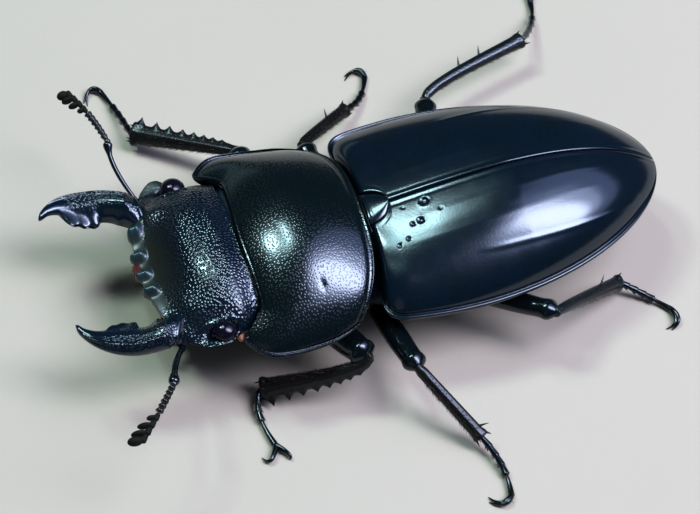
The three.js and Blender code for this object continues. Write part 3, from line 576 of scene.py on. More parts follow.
def wing_case(relief):
    """The left wing case as rings from base to apex. Each ring runs over the dome from the suture to the
    upturned rim, round the folded edge below it, and back inside the dome."""
    first = SHIELD["hind"] + GAP
    y = blend(first, WING["length"] - 0.004, closer_at_ends(relief.wing_rows))[:, None]
    half, height = wing_half(y), wing_crown(y)
    k = np.minimum(1, half / 4)
    suture = SEAM + scutellum_half(y + SEAM)
    foot = half - WING["rim"] * k
    wall = WING["wall"] * k
    x = suture + (foot - suture) * closer_at_ends(ROUND["wing_top"])[None, :]
    z = dome(x, foot, height) + wing_relief(x, y, suture, half)
    rounding = WING["rounding"]
    lip = np.maximum(0, rounding - (y - first))
    z = z - (rounding - np.sqrt(np.maximum(0, rounding**2 - lip**2)))
    edge = np.array([[0.3, 0.02], [0.16, 0.13], [0.04, 0.1], [0.0, -0.04], [0.1, -0.26], [0.34, -0.5],
                     [0.85, -0.85], [1.02, -0.78], [1.05, -0.5]])
    corner = np.stack([half - edge[:, 0] * k, edge[:, 1] * k], axis=-1)
    inwards = np.linspace(0.12, 1, ROUND["wing_inside"])[None]
    inner_x = suture + (foot - wall - suture) * np.cos(inwards * np.pi / 2)
    inner_z = dome(inner_x, foot - wall + 0.02, np.maximum(0.02, height - wall))
    turned = through_points(np.concatenate([corner, np.stack([inner_x, inner_z], -1)[:, :1]], axis=1), 6)
    x = np.concatenate([x, turned[..., 0], inner_x[:, 1:]], axis=1)
    z = np.concatenate([z, turned[..., 1], inner_z[:, 1:]], axis=1)
    base = 0.6 * (1 - smooth(y, 0, 5)) * (hind_margin(x / shield_half(1.0)) - SHIELD["hind"])
    return np.stack([x, y + base, z], axis=-1)


def wing_relief(x, y, suture, half):
    """Height added to the smooth dome: a raised bead with a groove along the suture, two faint ribs and a
    stronger one that leans to the side margin, the swollen shoulder with a shallow hollow inside it, and
    a slight waviness."""
    edge = x - suture
    bead = bumps(edge, BEAD_LINES["suture"]) - WING_SWELL["seam_drop"] * np.exp(-edge / 0.03)
    strong = hump(x / half, STRONG_RIB["place"] + STRONG_RIB["lean"] * y, STRONG_RIB["width"])
    ribs = bumps(x / half, FAINT_RIBS) + STRONG_RIB["height"] * strong * smooth(y, 6.5, 9)
    ribs = ribs * smooth(y, 1.2, 5) * (1 - smooth(y, 15, 19.5))
    shoulder = WING_SWELL["shoulder"] * hump(x, 0.76 * half, 0.8) * hump(y, 1.9, 1.1)
    hollow = -WING_SWELL["hollow"] * hump(x, 0.58 * half, 0.6) * hump(y, 1.5, 0.9)
    waves = WING_SWELL["waves"] * np.sin(0.9 * x + 0.55 * y) * np.sin(1.1 * y - 0.6 * x)
    base = bead * smooth(y, 0.6, 2.4) + ribs + (shoulder + hollow) * smooth(y, 0.5, 1.2)
    return base + waves * smooth(y, 1, 3)


def dented(rings, dents):
    """Rings with round, flat-bottomed dents pressed into their upper side, each inside a low rim."""
    x, y, z = (rings[..., i] for i in range(3))
    out = z.copy()
    for centre_x, centre_y, radius, depth in dents:
        r = np.hypot(x - centre_x, y - centre_y) / radius
        press = depth * (1 - smooth(r, 0.45, 1.0)) - 0.06 * depth * hump(r, 1.15, 0.25)
        out -= press * (z > 1.0)
    return np.stack([x, y, out], axis=-1)


def shield_point(u, v, below):
    """A point of the pronotum: v from front to hind, u across. The upper side is an arch inside a raised
    bead, and the under side a broad keel with thin flanks."""
    half = shield_half(v)
    y = blend(front_margin(u), SHIELD["hind_below"] if below else hind_margin(u), v)
    margin = 0.33 - 0.37 * np.sin(np.pi * v) ** 0.8 - 0.47 * v
    if below:
        deep = (SHIELD["keel"] - 0.5) * (1 - smooth(np.abs(u), 0.34, 0.66))
        flank = 0.3 + 0.5 * (1 - u * u)
        lip = rounded(np.abs(u), 0.93, 0.07)
        z = margin - (flank + deep) * lip
        return spread_points(u * half, y, z)
    foot = 1 - SHIELD["rim"] / half
    over = np.maximum(0, 1 - np.abs(u / foot) ** 2) ** 0.78
    side_bead = bumps((1 - np.abs(u)) * half, BEAD_LINES["shield_side"])
    length = hind_margin(u) - front_margin(u)
    from_front, from_hind = v * length, (1 - v) * length
    end_beads = bumps(from_front, BEAD_LINES["shield_front"]) + bumps(from_hind, BEAD_LINES["shield_hind"])
    ends = SHIELD["end_drop"] * (np.exp(-from_front / 0.04) + np.exp(-from_hind / 0.04))
    scar = -SCAR["depth"] * hump(u * half, *SCAR["x"]) * hump(y, *SCAR["y"])
    z = margin + side_bead + (shield_crown(v) - margin) * over
    z = z + (end_beads - ends) * smooth(over, 0.0, 0.35) + scar
    return spread_points(u * half, y, z)


def shield_rings(relief):
    """The pronotum as rings from its front margin to its hind margin, led by the socket for the neck."""
    v = closer_at_ends(relief.shield_rows)[:, None]
    u = np.sin((closer_at_ends(ROUND["shield_top"]) - 0.5) * np.pi)[None, :]
    under = np.sin((0.5 - np.linspace(0.02, 0.98, ROUND["shield_below"])) * np.pi)[None, :]
    rings = np.concatenate([shield_point(u, v, False), shield_point(under, v, True)], axis=1)
    centre = rings[0].mean(0) * np.array([1, 1, 0]) + np.array([0, 0, 0.2])
    socket = []
    for scale, shift in ((0.86, 1.9), (0.93, 0.9), (0.95, 0.5), (0.965, 0.2), (0.98, 0.03)):
        ring = centre + (rings[0] - centre) * scale
        ring[:, 1] = blend(centre[1], rings[0][:, 1], 0.3 + 0.7 * smooth(scale, 0.93, 1.0)) + shift
        socket.append(ring)
    return np.concatenate([np.array(socket), rings])


def scutellum_skin():
    """The small shield between the wing cases: a half-round outline, slightly domed."""
    t = closer_at_ends(ALONG["scutellum"])[:, None]
    y = SHIELD["hind"] + GAP + (SCUTELLUM["length"] - 0.02) * t
    u = (y - SHIELD["hind"]) / (SCUTELLUM["length"] + 0.3)
    half = (SCUTELLUM["half"] - SEAM) * np.sqrt(np.maximum(0.0004, 1 - u * u))
    turn = angles(ROUND["scutellum"])[None, :]
    x = half * np.cos(turn)
    top = wing_crown(y) - 0.06 - 0.12 * np.abs(np.cos(turn)) ** 3
    z = np.where(np.sin(turn) > 0, top, top - 0.45)
    z = z + 0.08 * np.sin(turn) * np.abs(np.sin(turn)) - 0.05 * hump(t, 0, 0.1)
    return loft(spread_points(x, y, z))


# ---------------------------------------------------------------- shapes of the trunk

def trunk_rings(stations, depth, y_below, roof):
    """The trunk under the wing cases: an arch that clears them above, thin flanks and a deep middle
    below. Each station has its own depth and roof, and its under side may lie further forward."""
    y = stations[:, None]
    half = wing_half(y) - TRUNK["inset"]
    height = np.maximum(0.1, wing_crown(y) - WING["wall"] - TRUNK["clear"])
    over = np.linspace(-1, 1, ROUND["trunk_top"])[None, :]
    under = np.sin(np.linspace(0.48, -0.48, ROUND["trunk_below"]) * np.pi)[None, :]
    flank = 0.8 * (1 - 1 / half**2)
    keel = depth[:, None] - TRUNK["side"] - flank
    line = TRUNK["line"] * hump(under * half, 0, 0.1)
    belly = -TRUNK["side"] - flank * (1 - under**2) - keel * (1 - smooth(np.abs(under), 0.36, 0.86)) + line
    vault = np.minimum(roof[:, None], dome(over * half, half, height) - 0.1)
    top = spread_points(over * half, y, vault)
    low = spread_points(under * half, y_below[:, None], belly)
    return np.concatenate([top, low], axis=1)


def thorax_rings():
    """The hind two thirds of the thorax, with a groove before and behind its large middle plate."""
    y = blend(SHIELD["hind"] + GAP, TRUNK["waist"], closer_at_ends(ALONG["thorax"]))
    ahead = 1 - smooth(y, 0.5, 2.6)
    depth = TRUNK["depth"] - 0.6 * (1 - smooth(y, 0.5, 1.3))
    depth = depth + bumps(y, BEAD_LINES["thorax"])
    y_below = y - (SHIELD["hind"] - SHIELD["hind_below"]) * ahead
    roof = blend(1.5, 9.0, smooth(y, 0.5, 3.0))
    return trunk_rings(y, depth, y_below, roof)


def abdomen_rings():
    """The abdomen: five plates, each with a groove and a small step where the next begins."""
    share = np.linspace(0, 1, ALONG["abdomen"])
    y = blend(TRUNK["waist"] + 2 * SEAM, TRUNK["end"], share**0.94)
    taper = 1 - 0.62 * ((y - TRUNK["waist"]) / (TRUNK["end"] - TRUNK["waist"])) ** 1.7
    place = (share * 5) % 1
    step = 0.13 * (1 - smooth(place, 0.0, 0.1)) - 0.05 * place
    depth = TRUNK["depth"] * taper - step
    depth = blend(depth, 0.45, smooth(share, 0.9, 1.0) ** 2)
    return trunk_rings(y, depth, y, np.full_like(y, 9.0))


# ---------------------------------------------------------------- shapes of the head

def head_rings(relief):
    """The head as rings from its neck to its front, with how pitted it is and where its knobs are. By the
    angle a round a ring, u = cos a is the share of the half width; the upper half is an arch and the lower
    half a keel that meet at the side. A plate drawn out of the side in front of each eye is the canthus."""
    count = relief.head_rows
    v = np.concatenate([closer_at_ends(count), np.ones(ALONG["nose"])])[:, None]
    nose = np.concatenate([np.zeros(count), np.linspace(0.08, 1, ALONG["nose"])])[:, None]
    upper = np.linspace(0, 1, ROUND["head_top"])
    lower = np.linspace(0, 1, ROUND["head_below"])[1:-1]
    crowd = 0.62 / (2 * np.pi)
    a = np.concatenate([np.pi * (upper - crowd * np.sin(2 * np.pi * upper)),
                        np.pi * (1 + lower - crowd * np.sin(2 * np.pi * lower))])[None, :]
    u = np.cos(a)
    above = a <= np.pi
    neck = 1 - smooth(v, 0, 0.28)
    half = HEAD["half"] - blend(0.2, 0.75, smooth(u, -0.5, 0.5)) * neck - 0.35 * smooth(v, 0.88, 1)
    crown = HEAD["crown"] * (1 - 0.62 * smooth(v, 0.3, 1.05)) - 0.32 * (1 - smooth(v, 0, 0.2))
    keel = HEAD["keel"] * (1 - 0.45 * smooth(v, 0.6, 1)) - 0.6 * (1 - smooth(v, 0, 0.26))
    x = u * half
    front = HEAD["front"] + 1.3 * u * u + np.where(above, 0.0, 0.5) * smooth(v, 0.5, 1)
    y = blend(HEAD["back"], front, v)
    arch = 0.1 + (crown - 0.1) * (1 - np.abs(u) ** 2.4) ** 0.6 + head_relief(x, v, u)
    belly = 0.1 - (keel + 0.1) * (1 - np.abs(u) ** 2.6) ** 0.75
    z = np.where(above, arch, belly)
    round_front = np.sqrt(1 - nose**2)
    middle = 0.35 * (arch.max(axis=1, keepdims=True) - 1.2)
    z = middle + (z - middle) * (0.25 + 0.75 * round_front)
    y = y - (0.04 + 0.34 * knob_share(x)) * np.sin(nose * np.pi / 2) * (1 - np.abs(u) ** 6)
    side_angle = np.minimum(np.abs(a), np.minimum(np.abs(a - np.pi), np.abs(a - 2 * np.pi)))
    ahead = v - 0.05 * (1 - u)
    right = u < 0
    window = smooth(ahead, 0.26, 0.48 + 0.1 * right) * (1 - smooth(ahead, 0.68 - 0.08 * right, 0.93))
    plate = window * hump(side_angle, 0, 0.15)
    out, lift = (np.where(right, CANTHUS["right"][i], CANTHUS["left"][i]) for i in range(2))
    x = x + out * plate
    z = z + lift * plate
    y = y + HEAD["shear"] * x
    rings = spread_points(x, y, z)
    # On the right canthus alone the head is marked as less pitted, so its finish paints fewer shaded pits and
    # more of its olive reflection there.
    pitted = head_pits(rings, v, u, above) * (1 - 0.85 * right * smooth(plate, 0.02, 0.3))
    # Where the knobs stand; the head's finish paints a teal reflection on them.
    knob = sum(hump(x, place, 0.8 * width) for place, width, _ in KNOBS) * smooth(v, 0.86, 0.93)
    return rings, {"pitted": pitted, "knob": np.where(above, knob, 0.0)}


def knob_share(x):
    """1 on the knobs of the front margin and 0 in the notches between them."""
    return sum(np.exp(-(np.abs((x - place) / width) ** 2.6)) for place, width, _ in KNOBS)


def head_relief(x, v, u):
    """Height added to the upper side of the head: the broad hollow behind the lip, the swellings beside
    it, the ridge over each eye with the dip for the eye below it, the temples, and the knobs on the front
    margin."""
    hollow = -HEAD_RELIEF["hollow"] * hump(x, -0.5, 3.5) * smooth(v, 0.5, 1.0)
    left = HEAD_RELIEF["left_swelling"] * hump(x, 3.9, 1.0) * hump(v, 0.72, 0.13)
    swelling = left + HEAD_RELIEF["right_swelling"] * hump(x, -4.1, 0.85) * hump(v, 0.8, 0.16)
    brow = HEAD_RELIEF["brow"] * hump(np.abs(u), 0.89, 0.03)
    brow = brow * smooth(v, 0.26, 0.36) * (1 - smooth(v, 0.6, 0.74))
    orbit = -HEAD_RELIEF["orbit"] * smooth(np.abs(u), 0.905, 0.94)
    orbit = orbit * smooth(v, 0.28, 0.38) * (1 - smooth(v, 0.62, 0.76))
    orbit = orbit * (1 - smooth(np.abs(u), 0.97, 0.995))
    knobs = sum(height * hump(x, place, 0.85 * width) for place, width, height in KNOBS)
    knobs = knobs * smooth(v, 0.86, 0.955)
    temple = HEAD_RELIEF["temple"] * hump(np.abs(u), 0.8, 0.12) * hump(v, 0.22, 0.1)
    return hollow + swelling + brow + orbit + knobs + temple


def eye_centre(sign):
    """Where an eye lies: the head is turned a little, so its left side stands further back, and the right
    eye stands out a little more."""
    x, y, z = EYE["centre"]
    return np.array([sign * x + EYE["shift"] * (sign < 0), y + HEAD["shear"] * sign * x, z])


def head_pits(rings, v, u, above):
    """How strongly the surface is pitted, from 0 in the hollow and on the lip to 1 on the crown. Where it
    is low, the head's finish paints an olive reflection in place of pits with painted shade.
    """
    x = rings[..., 0] + 0.5
    clear = np.exp(-((x / 3.5) ** 2) - ((v - 0.84) / 0.19) ** 2)
    lip = smooth(v, 0.84, 0.9) * (1 - smooth(np.abs(x), 3.4, 4.4))
    return np.where(above, 1 - np.maximum(clear, lip), 0.5) + 0 * u


# ---------------------------------------------------------------- shapes of the jaws

def jaw_rings(side, relief):
    """One jaw as rings from root to point. It lies along a chord, bowed outwards. Round a ring, the
    cosine of the angle a points out and its sine up; a ridge runs along the upper outer edge, and the
    inner edge carries a blade with two rows of low cusps."""
    jaw = JAW[side]
    sign = 1.0 if side == "left" else -1.0
    turn = math.radians(jaw["open"])
    along = np.array([-sign * math.sin(turn), -math.cos(turn), 0.0])
    outward = np.array([sign * math.cos(turn), -math.sin(turn), 0.0])
    root = np.array([sign * jaw["root"], *JAW["base"]])
    t = to_round_end(-0.06, 0.9, 0.1, relief.jaw_rows, ALONG["jaw_point"], 0.05)[:, None]
    a = angles(ROUND["jaw"])[None, :]
    c, s = np.cos(a), np.sin(a)
    clamped = np.clip(t, 0, 1)
    outer = 1.5 * np.sin(np.pi * clamped**1.2) ** 0.6 + 0.12 * t + 0.1 * (1 - smooth(t, 0, 0.2))
    inner = -0.87 - 2.3 * (1 - smooth(t, -0.15, 0.4)) + 1.15 * smooth(t, 0.42, 0.85)
    inner = inner - 0.25 * smooth(t, 0.88, 1)
    centre, half = (outer + inner) / 2, np.maximum(0.17, (outer - inner) / 2)
    thick = blend(0.95, 0.26, smooth(t, -0.1, 1.1)) * (1 - 0.35 * (1 - smooth(t, 0, 0.12)))
    point = rounded(t, 0.955, 0.045)
    half, thick = half * (0.02 + 0.98 * point), thick * (0.05 + 0.95 * point)
    root_end = rounded(-t, 0, 0.062, 0.02)
    plate = blend(0.36, jaw["blade"], np.clip((t - 0.4) / 0.3, 0, 1)) * smooth(t, 0.375, 0.43)
    plate = plate * (1 - smooth(t, jaw["blade_end"] - 0.08, jaw["blade_end"]))
    upper_cusps = 1 + 0.12 * np.cos(2 * np.pi * (t - 0.445) / 0.12)
    lower_cusps = 1 + 0.1 * np.cos(2 * np.pi * (t - 0.47) / 0.1)
    from_inner = np.angle(np.exp(1j * (a - np.pi)))
    lower_edge = 0.86 * lower_cusps * hump(from_inner, 0.42, 0.3)
    blade = plate * (upper_cusps * hump(from_inner, -0.3, 0.34) + lower_edge)
    blade = blade / (1 + 0.35 * hump(from_inner, 0.05, 0.2))
    basal = jaw["basal"] * hump(t, 0.23, 0.035) * hump(from_inner, -0.1, 0.5)
    ridge = JAW["ridge"] * hump(a, 0.85, 0.16) * smooth(t, 0.02, 0.12) * (1 - smooth(t, 0.72, 0.95))
    channel = -JAW["channel"] * hump(a, 1.5, 0.35) * smooth(t, 0.1, 0.25) * (1 - smooth(t, 0.6, 0.85))
    collar = bumps(t, BEAD_LINES["jaw_root"])
    offset = centre + (half + collar) * c * root_end - blade - basal
    lift = JAW["rise"] * smooth(t, 0.2, 1) ** 1.2
    flat = np.sign(s) * np.abs(s) ** 0.9
    z = root[2] + lift + thick * flat * root_end + (ridge + channel) * (s > 0)
    z = z - JAW["depth"] * np.maximum(-c, 0) * (1 - smooth(t, 0.5, 0.9))
    points = root + along * (t * JAW["length"])[..., None] + outward * offset[..., None]
    points[..., 2] = z
    rough = smooth(t, -0.03, 0.05) * (1 - smooth(t, 0.55, 0.8)) * hump(a, 1.0, 0.8)
    return points, rough + 0 * a


def condyle(sign):
    """The rounded root on which a jaw turns."""
    x, y, z = CONDYLE["centre"]
    return ball((sign * x, y, z), CONDYLE["radii"], *BALL["condyle"])


# ---------------------------------------------------------------- feelers

def feeler_route(side, t):
    """The bowed line of a feeler beyond its elbow."""
    feeler = FEELER[side]
    return bezier(feeler["elbow"], feeler["sway"], feeler["tip"], t)


def scape_skin(side):
    """The long first segment: a thin, curved stalk that swells to a knob at the elbow."""
    feeler = FEELER[side]
    t = to_round_end(-0.03, 0.93, 0.07, *ALONG["scape"], 0.04)
    radius = feeler["stalk"] * (1 + 0.15 * smooth(t, 0.1, 0.5))
    radius = radius + 0.15 * smooth(t, 0.72, 0.94) + 0.06 * hump(t, 0.0, 0.05)
    radius = radius * rounded(t, 0.93, 0.071, 0.01)
    a = angles(ROUND["scape"])[None, :]
    groove = 1 - 0.08 * hump(np.cos(a), 1, 0.3) * smooth(t, 0.6, 0.9)[:, None]
    route = bezier(feeler["base"], feeler["bend"], feeler["elbow"], t)
    rings = carried(route, UP, radius[:, None] * np.cos(a) * groove, radius[:, None] * np.sin(a))
    return loft(rings)


def bead_chain(side, first, last, beads, small, large):
    """A row of cup-shaped beads on the feeler: each widens to its far end and is closed by itself."""
    skins = []
    a = angles(ROUND["bead"])[None, :]
    for bead in range(beads):
        local = closer_at_ends(ALONG["bead"])
        start = blend(first, last, bead / beads)
        t = start + local * (last - first) / beads * 1.08
        width = blend(small, large, local**0.8) * rounded(local, 0.72, 0.285, 0.02)
        width = width * np.sqrt(np.maximum(0.1, np.minimum(1, local / 0.12)))
        grow = 1 + 0.16 * bead / beads
        serrate = 1 + 0.22 * np.maximum(0, np.cos(a)) ** 2 * smooth(local, 0.3, 0.8)[:, None]
        across, through = grow * width[:, None] * np.cos(a) * serrate, grow * width[:, None] * np.sin(a)
        skins.append(loft(carried(feeler_route(side, t), reach_of(side), across, through)))
    return skins


def reach_of(side):
    """The way the plates of the club stand out: inwards and to the front."""
    return np.array(FEELER[side]["reach"])


def club_skins(side):
    """The club: four rounded plates on a stem, like the teeth of a comb, the last one the largest."""
    reach = reach_of(side)
    skins = bead_chain(side, *BEADS["stem"])
    path = feeler_route(side, np.array([share for share, _ in PLATES]))
    tangent = unit(path[-1] - path[0])
    lean = unit(reach + 0.3 * tangent)
    third = unit(np.cross(lean, tangent))
    broad = np.cross(third, lean)
    for centre, (_, (length, thick, high)) in zip(path, PLATES):
        length = length * FEELER[side]["plate"]
        axes = np.array([lean, broad, third])
        skins.append(ball(centre + lean * (length - 0.02), (length, thick, high), *BALL["plate"], axes))
    return skins


# ---------------------------------------------------------------- legs

def leg_parts(name):
    """Hip, knee, ankle and the end of the foot of a leg."""
    leg = POSE[name]
    toe = (*leg["toe"], FLOOR + FOOT["level"])
    return tuple(np.array(p) for p in (leg["hip"], leg["knee"], leg["ankle"], toe))


def femur_skins(name):
    """The upper leg: a spindle, a little flattened, with two knobs that hold the knee, and the small
    trochanter at its root."""
    pair = name.split("_")[0]
    hip, knee, _, _ = leg_parts(name)
    half, thick = LEG[pair]["femur"]
    t = to_round_end(0.02, 0.86, 0.15, *ALONG["femur"], 0.04)
    swell = 0.62 + 0.38 * np.sin(np.pi * (0.08 + t * 0.8))
    end = rounded(t, 0.86, 0.1505, 0.004)
    start = np.sqrt(np.maximum(0.1, np.minimum(1, t / 0.12)))
    size = (swell * end * start)[:, None]
    a = angles(ROUND["femur"])[None, :]
    c, s = np.cos(a), np.sin(a)
    knob = FEMUR["knob"] * hump(t, 0.93, 0.05)[:, None] * np.abs(s) ** 4
    keel = FEMUR["keel"] * hump(a, np.pi, 0.35) * np.sin(np.pi * np.clip(t, 0, 1))[:, None]
    end_swell = FEMUR["knee"] * (hump(t, 0.92, 0.07) * end)[:, None]
    across, through = half * size + end_swell, thick * size + end_swell + knob
    rings = carried(hip + t[:, None] * (knee - hip), UP, across * c - keel, through * s)
    along = unit(knee - hip)
    root = hip - TROCHANTER["ahead"] * along - TROCHANTER["drop"] * UP
    return [loft(rings), ball(root, TROCHANTER["radii"], *BALL["trochanter"])]


def tibia_frame(name):
    """Start, end and the three directions of a lower leg: along it, towards its outer edge, and across."""
    _, knee, ankle, _ = leg_parts(name)
    along = unit(ankle - knee)
    outer = np.array(POSE[name]["outer"])
    outer = unit(outer - (outer @ along) * along)
    return knee, ankle, along, outer, np.cross(along, outer)


def leg_bow(name, t):
    """How far a lower leg stands out to its outer side, at the shares t of its length."""
    return POSE[name]["bow"] * np.sin(np.pi * np.sqrt(np.clip(np.atleast_1d(t), 0, 1)))[:, None]


def tibia_skins(name):
    """The lower leg: a bar that widens to the ankle, with long low ridges. On the front leg its outer
    edge is a row of teeth, each a cusp (1 - distance / width)^1.6; the others have one or two spines."""
    pair = name.split("_")[0]
    knee, ankle, along, outer, across = tibia_frame(name)
    narrow, wide, thick = LEG[pair]["tibia"]
    front = pair == "front"
    rows = ALONG["toothed_tibia" if front else "tibia"]
    start_rows, end_rows = ALONG["tibia_ends"]
    knee_part = np.linspace(-0.035, 0.05, start_rows, endpoint=False)
    t = np.concatenate([knee_part, to_round_end(0.05, 0.985, 0.02, rows, end_rows, 0.1)])
    half = blend(narrow, wide, np.clip(t, 0, 1) ** 1.1) * (1 - 0.16 * (1 - smooth(t, 0.0, 0.06)))
    half = half * (1 + 0.16 * hump(t, 0.97, 0.035))
    end = rounded(t, 0.985, 0.0201, 0.02)
    half, deep = half * end, thick * (0.8 + 0.2 * t) * end * (1 + 0.12 * hump(t, 0.97, 0.035))
    a = angles(ROUND["tibia"])[None, :]
    c, s = np.cos(a), np.sin(a)
    ridges = hump(np.abs(s), 0.55, 0.1) + hump(np.abs(s), 0.97, 0.06)
    ridges = TIBIA_RIDGE * ridges * smooth(t, 0.05, 0.15)[:, None]
    x = half[:, None] * c * (1 + ridges)
    z = deep[:, None] * s * (1 + ridges) * (1 - 0.18 * (np.abs(c) > 0) * np.maximum(c, 0) ** 2)
    if front:
        teeth = sum(height * np.maximum(0, 1 - np.abs(t - share) / TOOTH_WIDTH) ** 1.6
                    for share, height in TEETH)
        x = x + (0.06 + teeth)[:, None] * np.maximum(c, 0) ** 9 * end[:, None]
    path = knee + t[:, None] * (ankle - knee)
    skins = [loft(carried(path + leg_bow(name, t) * outer, outer, x, z))]

    def place(share, out, aside):
        """The point at a share of the leg's length, so far to its outer edge and so far across."""
        return knee + share * (ankle - knee) + (out + leg_bow(name, share)[0]) * outer + aside * across

    axes = np.array([along, outer, across])
    for out, aside, reach, radius, bow in SPURS:
        start, tip = place(SPUR_PLACE, out * wide, aside), ankle + np.array(reach) @ axes
        skins.append(horn(start, tip, radius, np.array(bow) @ axes[:2]))
    for spot in POSE[name]["spines"]:
        start = place(spot, wide * SPINE["start"], 0)
        tip = place(spot + SPINE["ahead"], wide + SPINE["length"], 0)
        skins.append(horn(start, tip, SPINE["radius"], SPINE["bow"] * outer))
    return skins


def foot_route(name, t):
    """The line of a foot: from the ankle down to the floor, and along it to the claws."""
    _, knee, ankle, toe = leg_parts(name)
    start = ankle + unit(ankle - knee) * 0.05
    bend = (*POSE[name]["bend"], FLOOR + 0.3)
    return bezier(start, bend, toe, t)


def tarsus_skins(name):
    """The foot: four short segments that widen to heart-shaped cups, and one long last segment that
    swells gently to the claws."""
    beads, split = FOOT["beads"], 1 - FOOT["last_share"]
    a = angles(ROUND["foot"])[None, :]
    c, s = np.cos(a), np.sin(a)
    skins = []
    for bead in range(beads):
        local = closer_at_ends(ALONG["foot_bead"])
        t = (bead + local * 1.14 - 0.02) / beads * split
        width = blend(FOOT["neck"], FOOT["bead"], local**1.1)
        width = width * rounded(local, 0.8, 0.203, 0.03)
        sole = 1 + 0.16 * np.maximum(0, -c) * smooth(local, 0.4, 0.85)[:, None]
        skins.append(loft(carried(foot_route(name, t), UP, width[:, None] * c * sole, width[:, None] * s)))
    local = closer_at_ends(ALONG["foot_end"])
    width = blend(*FOOT["last"], local**1.4) * rounded(local, 0.9, 0.101, 0.02)
    skins.append(tube(foot_route(name, blend(split - 0.01, 1.0, local)), width, width, ROUND["foot"]))
    return skins


def claw_skins(name):
    """Two hooked claws that spread from the last segment and bend to the way they point, with a short
    stub and its two bristles between them."""
    heading = math.radians(POSE[name]["claw"])
    route = foot_route(name, np.array([0.97, 1.0]))
    root, ahead = route[1], unit((route[1] - route[0]) * np.array([1, 1, 0]))
    aside = np.array([-ahead[1], ahead[0], 0])
    turned = np.array([math.cos(heading), math.sin(heading), 0])
    across = np.array([-turned[1], turned[0], 0])
    reach, spread = FOOT["claw"], POSE[name]["spread"]
    t = np.linspace(0, 1, ALONG["claw"])
    radius = FOOT["claw_radius"] * (1 - t) ** 0.7 + 0.02
    skins = []
    for side in (1, -1):
        bend = root + 0.6 * reach * ahead + 0.3 * reach * turned + side * spread * aside
        tip = root + (1 - 0.6 * spread) * reach * turned + side * spread * across
        bend[2], tip[2] = root[2] + 0.3, FLOOR + 0.03
        path = bezier(root - 0.12 * ahead, bend, tip, t)
        skins.append(tube(path, 1.15 * radius, 0.85 * radius, ROUND["claw"]))
    stub = root + 0.25 * ahead + np.array([0, 0, -0.02])
    skins.append(horn(root, stub, 0.07, blunt=0.6))
    for side in (1, -1):
        skins.append(horn(stub - 0.03 * ahead, stub + 0.3 * ahead + side * 0.14 * aside, 0.02))
    return skins


# ---------------------------------------------------------------- finishes

class Value:
    """A number, colour or vector that a material works out, written like ordinary arithmetic."""

    def __init__(self, finish, socket):
        self.finish = finish
        self.socket = socket

    def _math(self, operation, first, second):
        return self.finish.node("ShaderNodeMath", {"operation": operation}, {0: first, 1: second})

    def __add__(self, other):
        return self._math("ADD", self, other)

    def __sub__(self, other):
        return self._math("SUBTRACT", self, other)

    def __rsub__(self, other):
        return self._math("SUBTRACT", other, self)

    def __mul__(self, other):
        return self._math("MULTIPLY", self, other)

    __radd__ = __add__
    __rmul__ = __mul__


class Finish:
    """A material under construction: its node tree and its one shader."""

    def __init__(self, name, constants):
        self.material = bpy.data.materials.new(name)
        self.material.use_nodes = True
        self.tree = self.material.node_tree
        self.shader = self.tree.nodes["Principled BSDF"]
        for socket, value in constants.items():
            self.shader.inputs[socket].default_value = value

    def node(self, kind, settings=None, inputs=None, output=0):
        """Adds a node with its settings, then links or sets its inputs, and returns one output."""
        node = self.tree.nodes.new(kind)
        for setting, value in (settings or {}).items():
            setattr(node, setting, value)
        for socket, value in (inputs or {}).items():
            self.feed(node.inputs[socket], value)
        return Value(self, node.outputs[output])

    def feed(self, socket, value):
        """Links a value to a socket, or sets a plain number or colour on it."""
        if isinstance(value, Value):
            self.tree.links.new(value.socket, socket)
        else:
            socket.default_value = value

    def place(self):
        """Object coordinates, in metres."""
        return self.node("ShaderNodeTexCoord", output="Object")

    def noise(self, size, detail=3.0, stretch=(1, 1, 1)):
        """Cloudy noise from 0 to 1 with features of about this size in metres."""
        place = self.node("ShaderNodeMapping", inputs={"Vector": self.place(), "Scale": stretch})
        return self.node("ShaderNodeTexNoise", inputs={"Vector": place, "Scale": 1 / size, "Detail": detail})

    def pits(self, size, radius, uneven=1.0):
        """0 in the middle of round pits and 1 between them, as seen from above. size is the mean spacing
        in metres, and radius the pit's share of it."""
        cells = self.node("ShaderNodeTexVoronoi", {"voronoi_dimensions": "2D"}, {
            "Vector": self.place(), "Scale": 1 / size, "Randomness": uneven})
        return self.ramp(cells, 0.1 * radius, radius)

    def ramp(self, value, low, high):
        """0 below low, 1 above high, and a smooth step between them."""
        return self.node("ShaderNodeMapRange", {"interpolation_type": "SMOOTHSTEP"}, {
            "Value": value, "From Min": low, "From Max": high})

    def mark(self, name):
        """The number that the mesh carries under this name."""
        return self.node("ShaderNodeAttribute", {"attribute_name": name}, output="Fac")

    def mix(self, share, first, second):
        """first where share is 0, and second where it is 1."""
        node = self.tree.nodes.new("ShaderNodeMix")
        node.data_type = "RGBA"
        for socket, value in ((node.inputs[0], share), (node.inputs[6], first), (node.inputs[7], second)):
            self.feed(socket, value)
        return Value(self, node.outputs[2])

    def bump(self, height, depth):
        """A normal bent by a height from 0 to 1 that stands for depth in metres."""
        inputs = {"Height": height, "Distance": depth, "Strength": 1.0}
        return self.node("ShaderNodeBump", inputs=inputs, output="Normal")

    def set(self, **values):
        """Feeds the shader's sockets, named with underscores for spaces, and returns the material."""
        for socket, value in values.items():
            self.feed(self.shader.inputs[socket.replace("_", " ")], value)
        return self.material


def colour(rgb):
    """A colour with full alpha."""
    return (*rgb, 1.0)


def darker(rgb, share):
    """A colour with each part at this share of what it was."""
    return [share * part for part in rgb]


